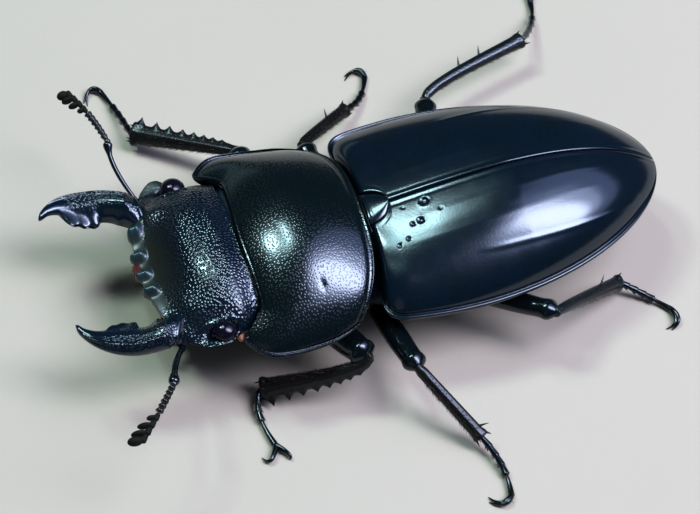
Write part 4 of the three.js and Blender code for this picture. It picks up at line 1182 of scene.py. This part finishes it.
def shell_finish(name, tint, deep, gloss, dull, pits, shine=0.5, pitted=False, bare_reflection=None, knob=None):
    """Horny shell: dark, with a slow shift between two tints, round dull pits with painted shade in them, a
    fine grain, and a gloss that varies a little. pits gives their spacing in metres, their radius as a share
    of it and their depth in metres. Where the mesh says how pitted it is, the pits thin out with that number.
    The tint given for bare places is a painted reflection on the duller places without pits, and the knob
    tint a painted reflection on the knobs that the mesh marks."""
    spacing, radius, depth = pits
    constants = {"IOR": 1.5, "Specular Tint": SHEEN_TINT, "Specular IOR Level": shine}
    finish = Finish(name, constants)
    clouds = finish.noise(SHELL["cloud"], 2.0)
    hollow = 1 - finish.pits(spacing, radius, SHELL["pit_uneven"])
    if pitted:
        hollow = hollow * finish.mark("pitted")
    grain = finish.noise(SHELL["grain"], 2.0)
    shade = finish.mix(clouds, colour(tint), colour(deep))
    # Painted shade: the pits are darker than the shell round them.
    shade = finish.mix(hollow * SHELL["pit_painted_shade_share"], shade, colour(darker(deep, SHELL["pit_painted_shade"])))
    height = grain * (SHELL["grain_depth"] / depth) + (1 - hollow)
    rough = gloss + SHELL["gloss_range"] * finish.noise(SHELL["gloss_patch"], 3.0) + dull * hollow
    # Painted reflection: the tint for bare places is laid where the mesh marks no pits; those places are also
    # made duller.
    if bare_reflection:
        shade = finish.mix(finish.mark("pitted"), colour(bare_reflection), shade)
        rough = rough + SHELL["bare_dull"] * (1 - finish.mark("pitted"))
    # Painted reflection: a teal tint laid on the knobs that the mesh marks.
    if knob:
        shade = finish.mix(finish.mark("knob"), shade, colour(knob))
    return finish.set(Base_Color=shade, Roughness=rough, Normal=finish.bump(height, depth))


def shell_materials(colours):
    """Every material of the beetle by its name, from the colours that a user may change."""
    tint, deep, leg = list(colours.shell), list(colours.shell_deep), list(colours.leg)
    brown, umber = [0.012, 0.009, 0.007], [0.006, 0.005, 0.004]
    # An olive painted reflection for the head's smooth hollow, and a teal painted reflection for its knobs.
    painted_olive_reflection, painted_teal_reflection = [0.0055, 0.006, 0.0035], [0.003, 0.016, 0.018]
    return {
        "elytra": shell_finish("elytra", tint, deep, gloss=0.13, dull=0.02, pits=(0.0003, 0.3, 0.000001)),
        "pronotum": shell_finish("pronotum", darker(deep, 0.5), deep, gloss=0.13, dull=0.12,
                                 pits=(0.00021, 0.4, 0.0000055)),
        "head": shell_finish("head", deep, tint, gloss=0.12, dull=0.08, pits=(0.00022, 0.55, 0.000022),
                             pitted=True, bare_reflection=painted_olive_reflection, knob=painted_teal_reflection),
        "jaw": shell_finish("jaw", tint, deep, gloss=0.12, dull=0.1, pits=(0.0002, 0.5, 0.00003), shine=0.45,
                            pitted=True),
        "body": shell_finish("body", deep, tint, gloss=0.28, dull=0.3, pits=(0.0003, 0.3, 0.00001)),
        "leg": shell_finish("leg", leg, deep, gloss=0.1, dull=0.2, pits=(0.0004, 0.16, 0.000003), shine=0.35),
        "tibia": shell_finish("tibia", leg, umber, gloss=0.2, dull=0.2, pits=(0.00028, 0.3, 0.000006),
                              shine=0.2),
        "shank": shell_finish("shank", leg, deep, gloss=0.26, dull=0.1, pits=(0.00028, 0.4, 0.00001),
                              shine=0.38),
        "feeler": shell_finish("feeler", leg, brown, gloss=0.2, dull=0.2, pits=(0.00015, 0.3, 0.000004)),
        "eye": eye_finish(),
        "club": club_finish(list(colours.club)),
        "lip": lip_finish("lip", list(colours.lip)),
        "neck": lip_finish("neck", list(colours.neck)),
        "hair": hair_finish("hair", list(colours.hair)),
        "bristle": hair_finish("bristle", darker(colours.hair, 0.15)),
    }


def eye_finish():
    """Polished violet-black with very fine facets."""
    finish = Finish("eye", {"IOR": 1.5, "Specular IOR Level": 0.22})
    facets = finish.pits(0.00005, 0.6, 0.15)
    shade = finish.mix(facets, colour((0.0012, 0.0008, 0.002)), colour((0.003, 0.0022, 0.006)))
    return finish.set(Base_Color=shade, Roughness=0.06, Normal=finish.bump(facets, 0.000001))


def club_finish(tint):
    """The feeler's club: dull and nearly black, covered in a down too fine to see as hairs."""
    finish = Finish("club", {"Specular IOR Level": 0.1})
    down = finish.noise(0.00004, 5.0)
    shade = finish.mix(finish.noise(0.0005), colour(tint), colour(darker(tint, 0.4)))
    return finish.set(Base_Color=shade, Roughness=0.62 + 0.2 * down, Normal=finish.bump(down, 0.00001))


def lip_finish(name, tint):
    """Reddish horn of the upper lip, and skin at the neck: slightly see-through, wrinkled."""
    finish = Finish(name, {"Subsurface Weight": 0.15, "Subsurface Scale": 0.0005})
    folds = finish.noise(0.00025, 3.0, (1, 3, 1))
    shade = finish.mix(folds, colour(tint), colour(darker(tint, 0.35)))
    return finish.set(Base_Color=shade, Roughness=0.35 + 0.2 * folds, Normal=finish.bump(folds, 0.00003))


def hair_finish(name, tint):
    """Bristles of one tint, cloudily darker from place to place."""
    finish = Finish(name, {"Specular IOR Level": 0.4})
    shade = finish.mix(finish.noise(0.0006), colour(tint), colour(darker(tint, 0.45)))
    return finish.set(Base_Color=shade, Roughness=0.42 + 0.1 * finish.noise(0.0002))


# ---------------------------------------------------------------- settings that a user may change

class BeetleRelief(bpy.types.PropertyGroup):
    """How finely each shell is worked out, and how many bristles a leg carries."""

    wing_rows: bpy.props.IntProperty(
        name="Wing case rows", description="Sections along a wing case", default=260, min=40)
    shield_rows: bpy.props.IntProperty(
        name="Pronotum rows", description="Sections along the pronotum", default=150, min=30)
    head_rows: bpy.props.IntProperty(
        name="Head rows", description="Sections along the head", default=200, min=40)
    jaw_rows: bpy.props.IntProperty(
        name="Jaw rows", description="Sections along a jaw", default=200, min=40)
    leg_bristles: bpy.props.IntProperty(
        name="Bristles on a leg", description="Bristles on each lower leg, and again on each foot",
        default=260, min=0)
    bristle_length: bpy.props.FloatProperty(
        name="Bristle length", description="Middling length of a lower leg's bristles", default=0.00032,
        unit="LENGTH")


class BeetleColours(bpy.types.PropertyGroup):
    """Colours of the shell, legs, feelers, lip, neck and bristles."""

    shell: bpy.props.FloatVectorProperty(
        name="Shell", description="Main tint of the shell", subtype="COLOR", default=(0.001, 0.0036, 0.009))
    shell_deep: bpy.props.FloatVectorProperty(
        name="Shell, deep", description="Second tint of the shell", subtype="COLOR",
        default=(0.0007, 0.0028, 0.0034))
    leg: bpy.props.FloatVectorProperty(
        name="Legs", description="Tint of the legs", subtype="COLOR", default=(0.001, 0.001, 0.0016))
    club: bpy.props.FloatVectorProperty(
        name="Club", description="Tint of the feelers' clubs", subtype="COLOR",
        default=(0.004, 0.0036, 0.0022))
    lip: bpy.props.FloatVectorProperty(
        name="Lip", description="Tint of the upper lip", subtype="COLOR", default=(0.06, 0.0025, 0.0015))
    neck: bpy.props.FloatVectorProperty(
        name="Neck", description="Tint of the fold of skin at the neck", subtype="COLOR",
        default=(0.2, 0.05, 0.012))
    hair: bpy.props.FloatVectorProperty(
        name="Bristles", description="Tint of the mouth's brush, and darker of the bristles on the legs",
        subtype="COLOR", default=(0.22, 0.09, 0.02))


class BeetleStage(bpy.types.PropertyGroup):
    """Where the camera stands, seen from what it aims at, and the floor and light."""

    azimuth: bpy.props.FloatProperty(
        name="Azimuth", description="Camera's way round, 0 looks at the head", default=math.radians(72),
        subtype="ANGLE")
    elevation: bpy.props.FloatProperty(
        name="Elevation", description="Camera's height above the horizon", default=math.radians(55.5),
        subtype="ANGLE")
    roll: bpy.props.FloatProperty(
        name="Roll", description="Camera's tilt to one side", default=math.radians(2), subtype="ANGLE")
    distance: bpy.props.FloatProperty(
        name="Distance", description="From the camera to what it aims at", default=0.16939, unit="LENGTH")
    lens: bpy.props.FloatProperty(name="Lens", description="Focal length in millimetres", default=128.57)
    floor_tint: bpy.props.FloatVectorProperty(
        name="Floor", description="Colour of the floor", subtype="COLOR", default=(0.29, 0.252, 0.2))
    sky: bpy.props.FloatProperty(
        name="Sky", description="Strength of the even light from all round", default=0.07, min=0.0)
    power: bpy.props.FloatProperty(
        name="Lamp power", description="Factor on every lamp", default=1.0, min=0.0)


finishes = {}


def materials():
    """The beetle's materials by name, made once from the scene's colours."""
    if not finishes:
        finishes.update(shell_materials(bpy.context.scene.beetle_colours))
    return finishes


# ---------------------------------------------------------------- operators, one for each group of pieces

class BEETLE_OT_wing_cases(bpy.types.Operator):
    """Two wing cases and the small shield between their bases"""

    bl_idname = "beetle.wing_cases"
    bl_label = "Wing cases"

    def execute(self, context):
        rings = wing_case(context.scene.beetle_relief)
        left, right = loft(dented(rings, DENTS)), mirrored(loft(rings))
        make_piece("wing_case_left", [left], materials()["elytra"], ["elytron_left"])
        make_piece("wing_case_right", [right], materials()["elytra"], ["elytron_right"])
        make_piece("small_shield", [scutellum_skin()], materials()["elytra"], ["scutellum"])
        return {"FINISHED"}


class BEETLE_OT_pronotum(bpy.types.Operator):
    """The large plate behind the head"""

    bl_idname = "beetle.pronotum"
    bl_label = "Pronotum"

    def execute(self, context):
        rings = shield_rings(context.scene.beetle_relief)
        make_piece("pronotum_shell", [loft(rings)], materials()["pronotum"], ["pronotum"])
        return {"FINISHED"}


class BEETLE_OT_trunk(bpy.types.Operator):
    """Thorax and abdomen under the wing cases"""

    bl_idname = "beetle.trunk"
    bl_label = "Trunk"

    def execute(self, context):
        make_piece("thorax_plates", [loft(thorax_rings())], materials()["body"], ["thorax"])
        make_piece("belly_plates", [loft(abdomen_rings())], materials()["body"], ["abdomen"])
        return {"FINISHED"}


class BEETLE_OT_head(bpy.types.Operator):
    """Head, eyes, upper lip, palps and the skin of the neck"""

    bl_idname = "beetle.head"
    bl_label = "Head"

    def execute(self, context):
        rings, marks = head_rings(context.scene.beetle_relief)
        make_piece("head_shell", [loft(rings, marks)], materials()["head"], ["head"])
        for side, sign in SIDES:
            eye = ball(eye_centre(sign), EYE["radii"], *BALL["eye"])
            make_piece(f"eye_dome_{side}", [eye], materials()["eye"], [f"eye_{side}"])
            palp = palp_skins(sign)
            make_piece(f"palp_beads_{side}", palp, materials()["feeler"], [f"palp_{side}"])
        make_piece("upper_lip", [lip_skin()], materials()["lip"], ["labrum"])
        make_piece("neck_skin", [neck_skin()], materials()["body"])
        fold = ball(NECK_FOLD["centre"], NECK_FOLD["radii"], *BALL["neck_fold"])
        make_piece("neck_fold", [fold], materials()["neck"])
        return {"FINISHED"}


def palp_skins(sign):
    """A palp: beads in a row along a line bent outwards, each swollen in its middle."""
    skins = []
    side = np.array([sign, 1, 1])
    local = closer_at_ends(ALONG["palp"])
    width = 0.16 + 0.13 * np.sin(np.pi * (0.25 + local * 0.7))
    width = width * np.sqrt(np.sin(np.pi * (0.02 + 0.96 * local)))
    for bead in range(PALP["beads"]):
        t = (bead + local * 1.05) / PALP["beads"]
        path = bezier(side * PALP["root"], side * PALP["bend"], side * PALP["tip"], t)
        skins.append(tube(path, width, width, ROUND["palp"]))
    return skins


def lip_skin():
    """The upper lip: a small plate that narrows to the front, with a notch there."""
    t = closer_at_ends(ALONG["lip"])[:, None]
    a = angles(ROUND["lip"])[None, :]
    half = LIP["half"] * (1 - 0.45 * t)
    x = half * np.cos(a)
    y = HEAD["front"] + 0.1 - LIP["length"] * t + 0.2 * x**2 * (1 - t) + LIP["notch"] * hump(x, 0, 0.2) * t
    z = 0.05 - 0.15 * t + (0.42 - 0.16 * t) * np.sin(a)
    return loft(np.stack([x + LIP["middle"], y, z], axis=-1))


def neck_skin():
    """The soft skin between the head and the pronotum: a folded tube inside both."""
    t = np.linspace(0, 1, ALONG["neck"])[:, None]
    a = angles(ROUND["neck"])[None, :]
    folds = 1 + 0.025 * np.sin(t * 6 * np.pi)
    x = NECK["half"] * np.cos(a) * folds
    z = 0.1 + np.where(np.sin(a) > 0, NECK["above"], NECK["below"]) * np.sin(a) * folds
    y = blend(NECK["hind"], NECK["front"], t) - 0.35 * np.abs(np.cos(a)) ** 4
    return loft(spread_points(x, y, z))


class BEETLE_OT_jaws(bpy.types.Operator):
    """Two open jaws on their rounded roots"""

    bl_idname = "beetle.jaws"
    bl_label = "Jaws"

    def execute(self, context):
        for side, sign in SIDES:
            rings, pitted = jaw_rings(side, context.scene.beetle_relief)
            skins = [loft(rings, {"pitted": pitted}), condyle(sign)]
            make_piece(f"jaw_{side}", skins, materials()["jaw"], [f"mandible_{side}"])
        return {"FINISHED"}


class BEETLE_OT_feelers(bpy.types.Operator):
    """Two elbowed feelers: stalk, beads and comb-like club"""

    bl_idname = "beetle.feelers"
    bl_label = "Feelers"

    def execute(self, context):
        for side, _ in SIDES:
            stalk = [scape_skin(side)]
            elbow = ball(FEELER[side]["elbow"], [ELBOW_RADIUS] * 3, *BALL["elbow"])
            beads = [elbow, *bead_chain(side, *BEADS["funicle"])]
            make_piece(f"scape_stalk_{side}", stalk, materials()["leg"], [f"scape_{side}"])
            make_piece(f"funicle_beads_{side}", beads, materials()["feeler"], [f"funicle_{side}"])
            make_piece(f"club_plates_{side}", club_skins(side), materials()["club"], [f"club_{side}"])
        return {"FINISHED"}


class BEETLE_OT_legs(bpy.types.Operator):
    """Six legs: coxa, femur, tibia, foot and claws"""

    bl_idname = "beetle.legs"
    bl_label = "Legs"

    def execute(self, context):
        for name in POSE:
            pair, side = name.split("_")
            sign = dict(SIDES)[side]
            centre, radii = LEG[pair]["coxa"]
            coxa = ball(np.array(centre) * np.array([sign, 1, 1]), radii, *BALL["coxa"])
            make_piece(f"hip_{name}", [coxa], materials()["leg"], [f"coxa_{name}"])
            make_piece(f"upper_leg_{name}", femur_skins(name), materials()["leg"], [f"femur_{name}"])
            shank = materials()["shank" if pair == "hind" else "tibia"]
            make_piece(f"lower_leg_{name}", tibia_skins(name), shank, [f"tibia_{name}"])
            make_piece(f"foot_{name}", tarsus_skins(name), materials()["leg"], [f"tarsus_{name}"])
            make_piece(f"hooks_{name}", claw_skins(name), materials()["leg"], [f"claws_{name}"])
        return {"FINISHED"}


class BEETLE_OT_bristles(bpy.types.Operator):
    """Fine bristles on the lower legs, the soles and the mouth"""

    bl_idname = "beetle.bristles"
    bl_label = "Bristles"

    def execute(self, context):
        relief = context.scene.beetle_relief
        for number, name in enumerate(POSE):
            skin, patches = leg_bristles(name, number, relief)
            make_piece(f"leg_bristles_{name}", [skin], materials()["bristle"], patches=patches)
        skin, patches = mouth_brush()
        make_piece("mouth_brush", [skin], materials()["hair"], patches=patches)
        return {"FINISHED"}


def leg_bristles(name, seed, relief):
    """Bristles in rows along the inner edge of a lower leg and under the cups of its foot, each leaning
    towards the claws."""
    rng = np.random.default_rng(seed)
    pair = name.split("_")[0]
    knee, ankle, along, outer, across = tibia_frame(name)
    narrow, wide, thick = LEG[pair]["tibia"]
    count = relief.leg_bristles
    t = rng.uniform(0.15, 0.97, count)
    turn = np.pi + rng.normal(0, 0.75, count)
    half, deep = blend(narrow, wide, t**1.1), thick * (0.8 + 0.2 * t)
    spread = outer * (np.cos(turn) * half)[:, None] + across * (np.sin(turn) * deep)[:, None]
    roots = knee + t[:, None] * (ankle - knee) + leg_bow(name, t) * outer + 0.96 * spread
    ways = 0.9 * along + unit(spread) * 0.55 + rng.normal(0, 0.12, (count, 3))
    lengths = relief.bristle_length / MM * rng.uniform(0.6, 1.3, count)
    place = np.stack([0.48 * t, turn / (2 * np.pi) % 1], axis=-1)
    cup = rng.integers(0, FOOT["beads"], count)
    share = (cup + rng.uniform(0.55, 0.95, count)) / FOOT["beads"] * (1 - FOOT["last_share"])
    centre = foot_route(name, share)
    ahead = unit(foot_route(name, share + 0.02) - centre)
    side = unit(np.cross(ahead, UP))
    swing = rng.uniform(-1.25, 1.25, count)[:, None]
    down = -UP * np.cos(swing) + side * np.sin(swing)
    roots = np.vstack([roots, centre + SOLE_HAIR["root"] * down])
    foot_ways = down * 0.6 + ahead * 0.9 + rng.normal(0, 0.1, (count, 3))
    droop = np.vstack([0.15 * along + 0 * ways, 0 * foot_ways])
    ways = np.vstack([ways, foot_ways])
    lengths = np.concatenate([lengths, rng.uniform(SOLE_HAIR["shortest"], SOLE_HAIR["longest"], count)])
    foot_place = np.stack([0.5 + 0.48 * share, 0.5 + 0.15 * swing[:, 0]], axis=-1)
    return bristles(roots, ways, lengths, LEG_HAIR_RADIUS, droop, np.vstack([place, foot_place]))


def mouth_brush():
    """The brush under the upper lip: short golden hairs that fan out to the front."""
    rng = np.random.default_rng(BRUSH_SEED)
    count, half = BRUSH["hairs"], BRUSH["half"]
    x = rng.uniform(-half, half, count)
    y = HEAD["front"] - 0.05 + 0.1 * x**2
    roots = np.stack([x + LIP["middle"], y, rng.uniform(-0.35, 0.1, count)], axis=-1)
    ways = np.stack([0.5 * x, np.full(count, -1.0), rng.uniform(-0.35, 0.1, count)], axis=-1)
    ways = ways + rng.normal(0, 0.1, (count, 3))
    lengths = rng.uniform(BRUSH["shortest"], BRUSH["longest"], count)
    places = np.stack([0.5 + 0.5 * x, rng.uniform(0, 1, count)], axis=-1)
    droop = np.tile(-BRUSH["droop"] * UP, (count, 1))
    return bristles(roots, ways, lengths, BRUSH["radius"], droop, places)


# ---------------------------------------------------------------- the stage

def camera_axes(azimuth, elevation, roll):
    """The camera's right, up and back directions."""
    level = math.cos(elevation)
    back = np.array([math.sin(azimuth) * level, -math.cos(azimuth) * level, math.sin(elevation)])
    right = np.array([math.cos(azimuth), math.sin(azimuth), 0.0])
    up = np.cross(back, right)
    return (math.cos(roll) * right + math.sin(roll) * up, -math.sin(roll) * right + math.cos(roll) * up, back)


class BEETLE_OT_stage(bpy.types.Operator):
    """Pale floor, soft lamps and the camera"""

    bl_idname = "beetle.stage"
    bl_label = "Stage"

    def execute(self, context):
        stage = context.scene.beetle_stage
        add_floor(stage)
        add_camera(stage)
        add_lamps(stage)
        return {"FINISHED"}


def add_floor(stage):
    """A wide pale sheet at the height of the soles."""
    finish = Finish("floor", {"Specular IOR Level": 0.3})
    tint = np.array(stage.floor_tint)
    shade = finish.mix(finish.noise(0.02), colour(tint), colour(0.94 * tint))
    grain = finish.noise(0.0008, 4.0)
    material = finish.set(Base_Color=shade, Roughness=0.75, Normal=finish.bump(grain, 0.00002))
    reach = FLOOR_REACH
    mesh = bpy.data.meshes.new("floor")
    corners = [(-reach, -reach, 0), (reach, -reach, 0), (reach, reach, 0), (-reach, reach, 0)]
    mesh.from_pydata(corners, [], [(0, 1, 2, 3)])
    mesh.materials.append(material)
    floor = bpy.data.objects.new("floor", mesh)
    bpy.context.scene.collection.objects.link(floor)


def add_camera(stage):
    """The camera, aimed at a point in the middle of the beetle."""
    right, up, back = camera_axes(stage.azimuth, stage.elevation, stage.roll)
    camera = bpy.data.objects.new("camera", bpy.data.cameras.new("camera"))
    camera.data.lens = stage.lens
    camera.data.sensor_width = SENSOR_WIDTH
    camera.data.clip_start, camera.data.clip_end = CLIP
    place = (np.array(AIM) + SHIFT) * MM + stage.distance * back
    turn = Matrix((right, up, back)).transposed().to_4x4()
    camera.matrix_world = Matrix.Translation(Vector(place)) @ turn
    bpy.context.scene.collection.objects.link(camera)
    bpy.context.scene.camera = camera


def add_lamps(stage):
    """Soft lamps round the beetle, and a dim even sky."""
    centre = (np.array(AIM) + SHIFT) * MM
    for name, (azimuth, elevation, distance, size, power, tint) in LAMPS.items():
        _, _, back = camera_axes(math.radians(azimuth), math.radians(elevation), 0)
        lamp = bpy.data.lights.new(name, "AREA")
        lamp.shape = "ELLIPSE"
        lamp.size, lamp.size_y = size
        lamp.energy = power * stage.power
        lamp.color = tint
        holder = bpy.data.objects.new(name, lamp)
        holder.location = Vector(centre + distance * back)
        holder.rotation_mode = "QUATERNION"
        holder.rotation_quaternion = Vector(back).to_track_quat("Z", "Y")
        bpy.context.scene.collection.objects.link(holder)
    world = bpy.data.worlds.new("sky")
    world.use_nodes = True
    background = world.node_tree.nodes["Background"]
    background.inputs["Color"].default_value = SKY_TINT
    background.inputs["Strength"].default_value = stage.sky
    bpy.context.scene.world = world
    bpy.context.scene.view_settings.view_transform = "Standard"


# ---------------------------------------------------------------- panel and registration

OPERATORS = (BEETLE_OT_wing_cases, BEETLE_OT_pronotum, BEETLE_OT_trunk, BEETLE_OT_head, BEETLE_OT_jaws,
             BEETLE_OT_feelers, BEETLE_OT_legs, BEETLE_OT_bristles, BEETLE_OT_stage)
SETTINGS = {"beetle_relief": BeetleRelief, "beetle_colours": BeetleColours, "beetle_stage": BeetleStage}


class BEETLE_PT_panel(bpy.types.Panel):
    """Settings and one button for each group of pieces"""

    bl_label = "Stag Beetle"
    bl_idname = "BEETLE_PT_panel"
    bl_space_type = "VIEW_3D"
    bl_region_type = "UI"
    bl_category = "Beetle"

    def draw(self, context):
        for name, group in SETTINGS.items():
            box = self.layout.box()
            for setting in group.__annotations__:
                box.prop(getattr(context.scene, name), setting)
        for operator in OPERATORS:
            self.layout.operator(operator.bl_idname)


def register():
    """Adds the settings, the operators and the panel to Blender."""
    for group in (*SETTINGS.values(), *OPERATORS, BEETLE_PT_panel):
        bpy.utils.register_class(group)
    for name, group in SETTINGS.items():
        setattr(bpy.types.Scene, name, bpy.props.PointerProperty(type=group))


def unregister():
    """Takes away what register added."""
    for name in SETTINGS:
        delattr(bpy.types.Scene, name)
    for group in reversed((*SETTINGS.values(), *OPERATORS, BEETLE_PT_panel)):
        bpy.utils.unregister_class(group)


def main():
    """Builds the beetle and its stage."""
    register()
    bpy.ops.beetle.wing_cases()
    bpy.ops.beetle.pronotum()
    bpy.ops.beetle.trunk()
    bpy.ops.beetle.head()
    bpy.ops.beetle.jaws()
    bpy.ops.beetle.feelers()
    bpy.ops.beetle.legs()
    bpy.ops.beetle.bristles()
    bpy.ops.beetle.stage()


if __name__ == "__main__":
    main()
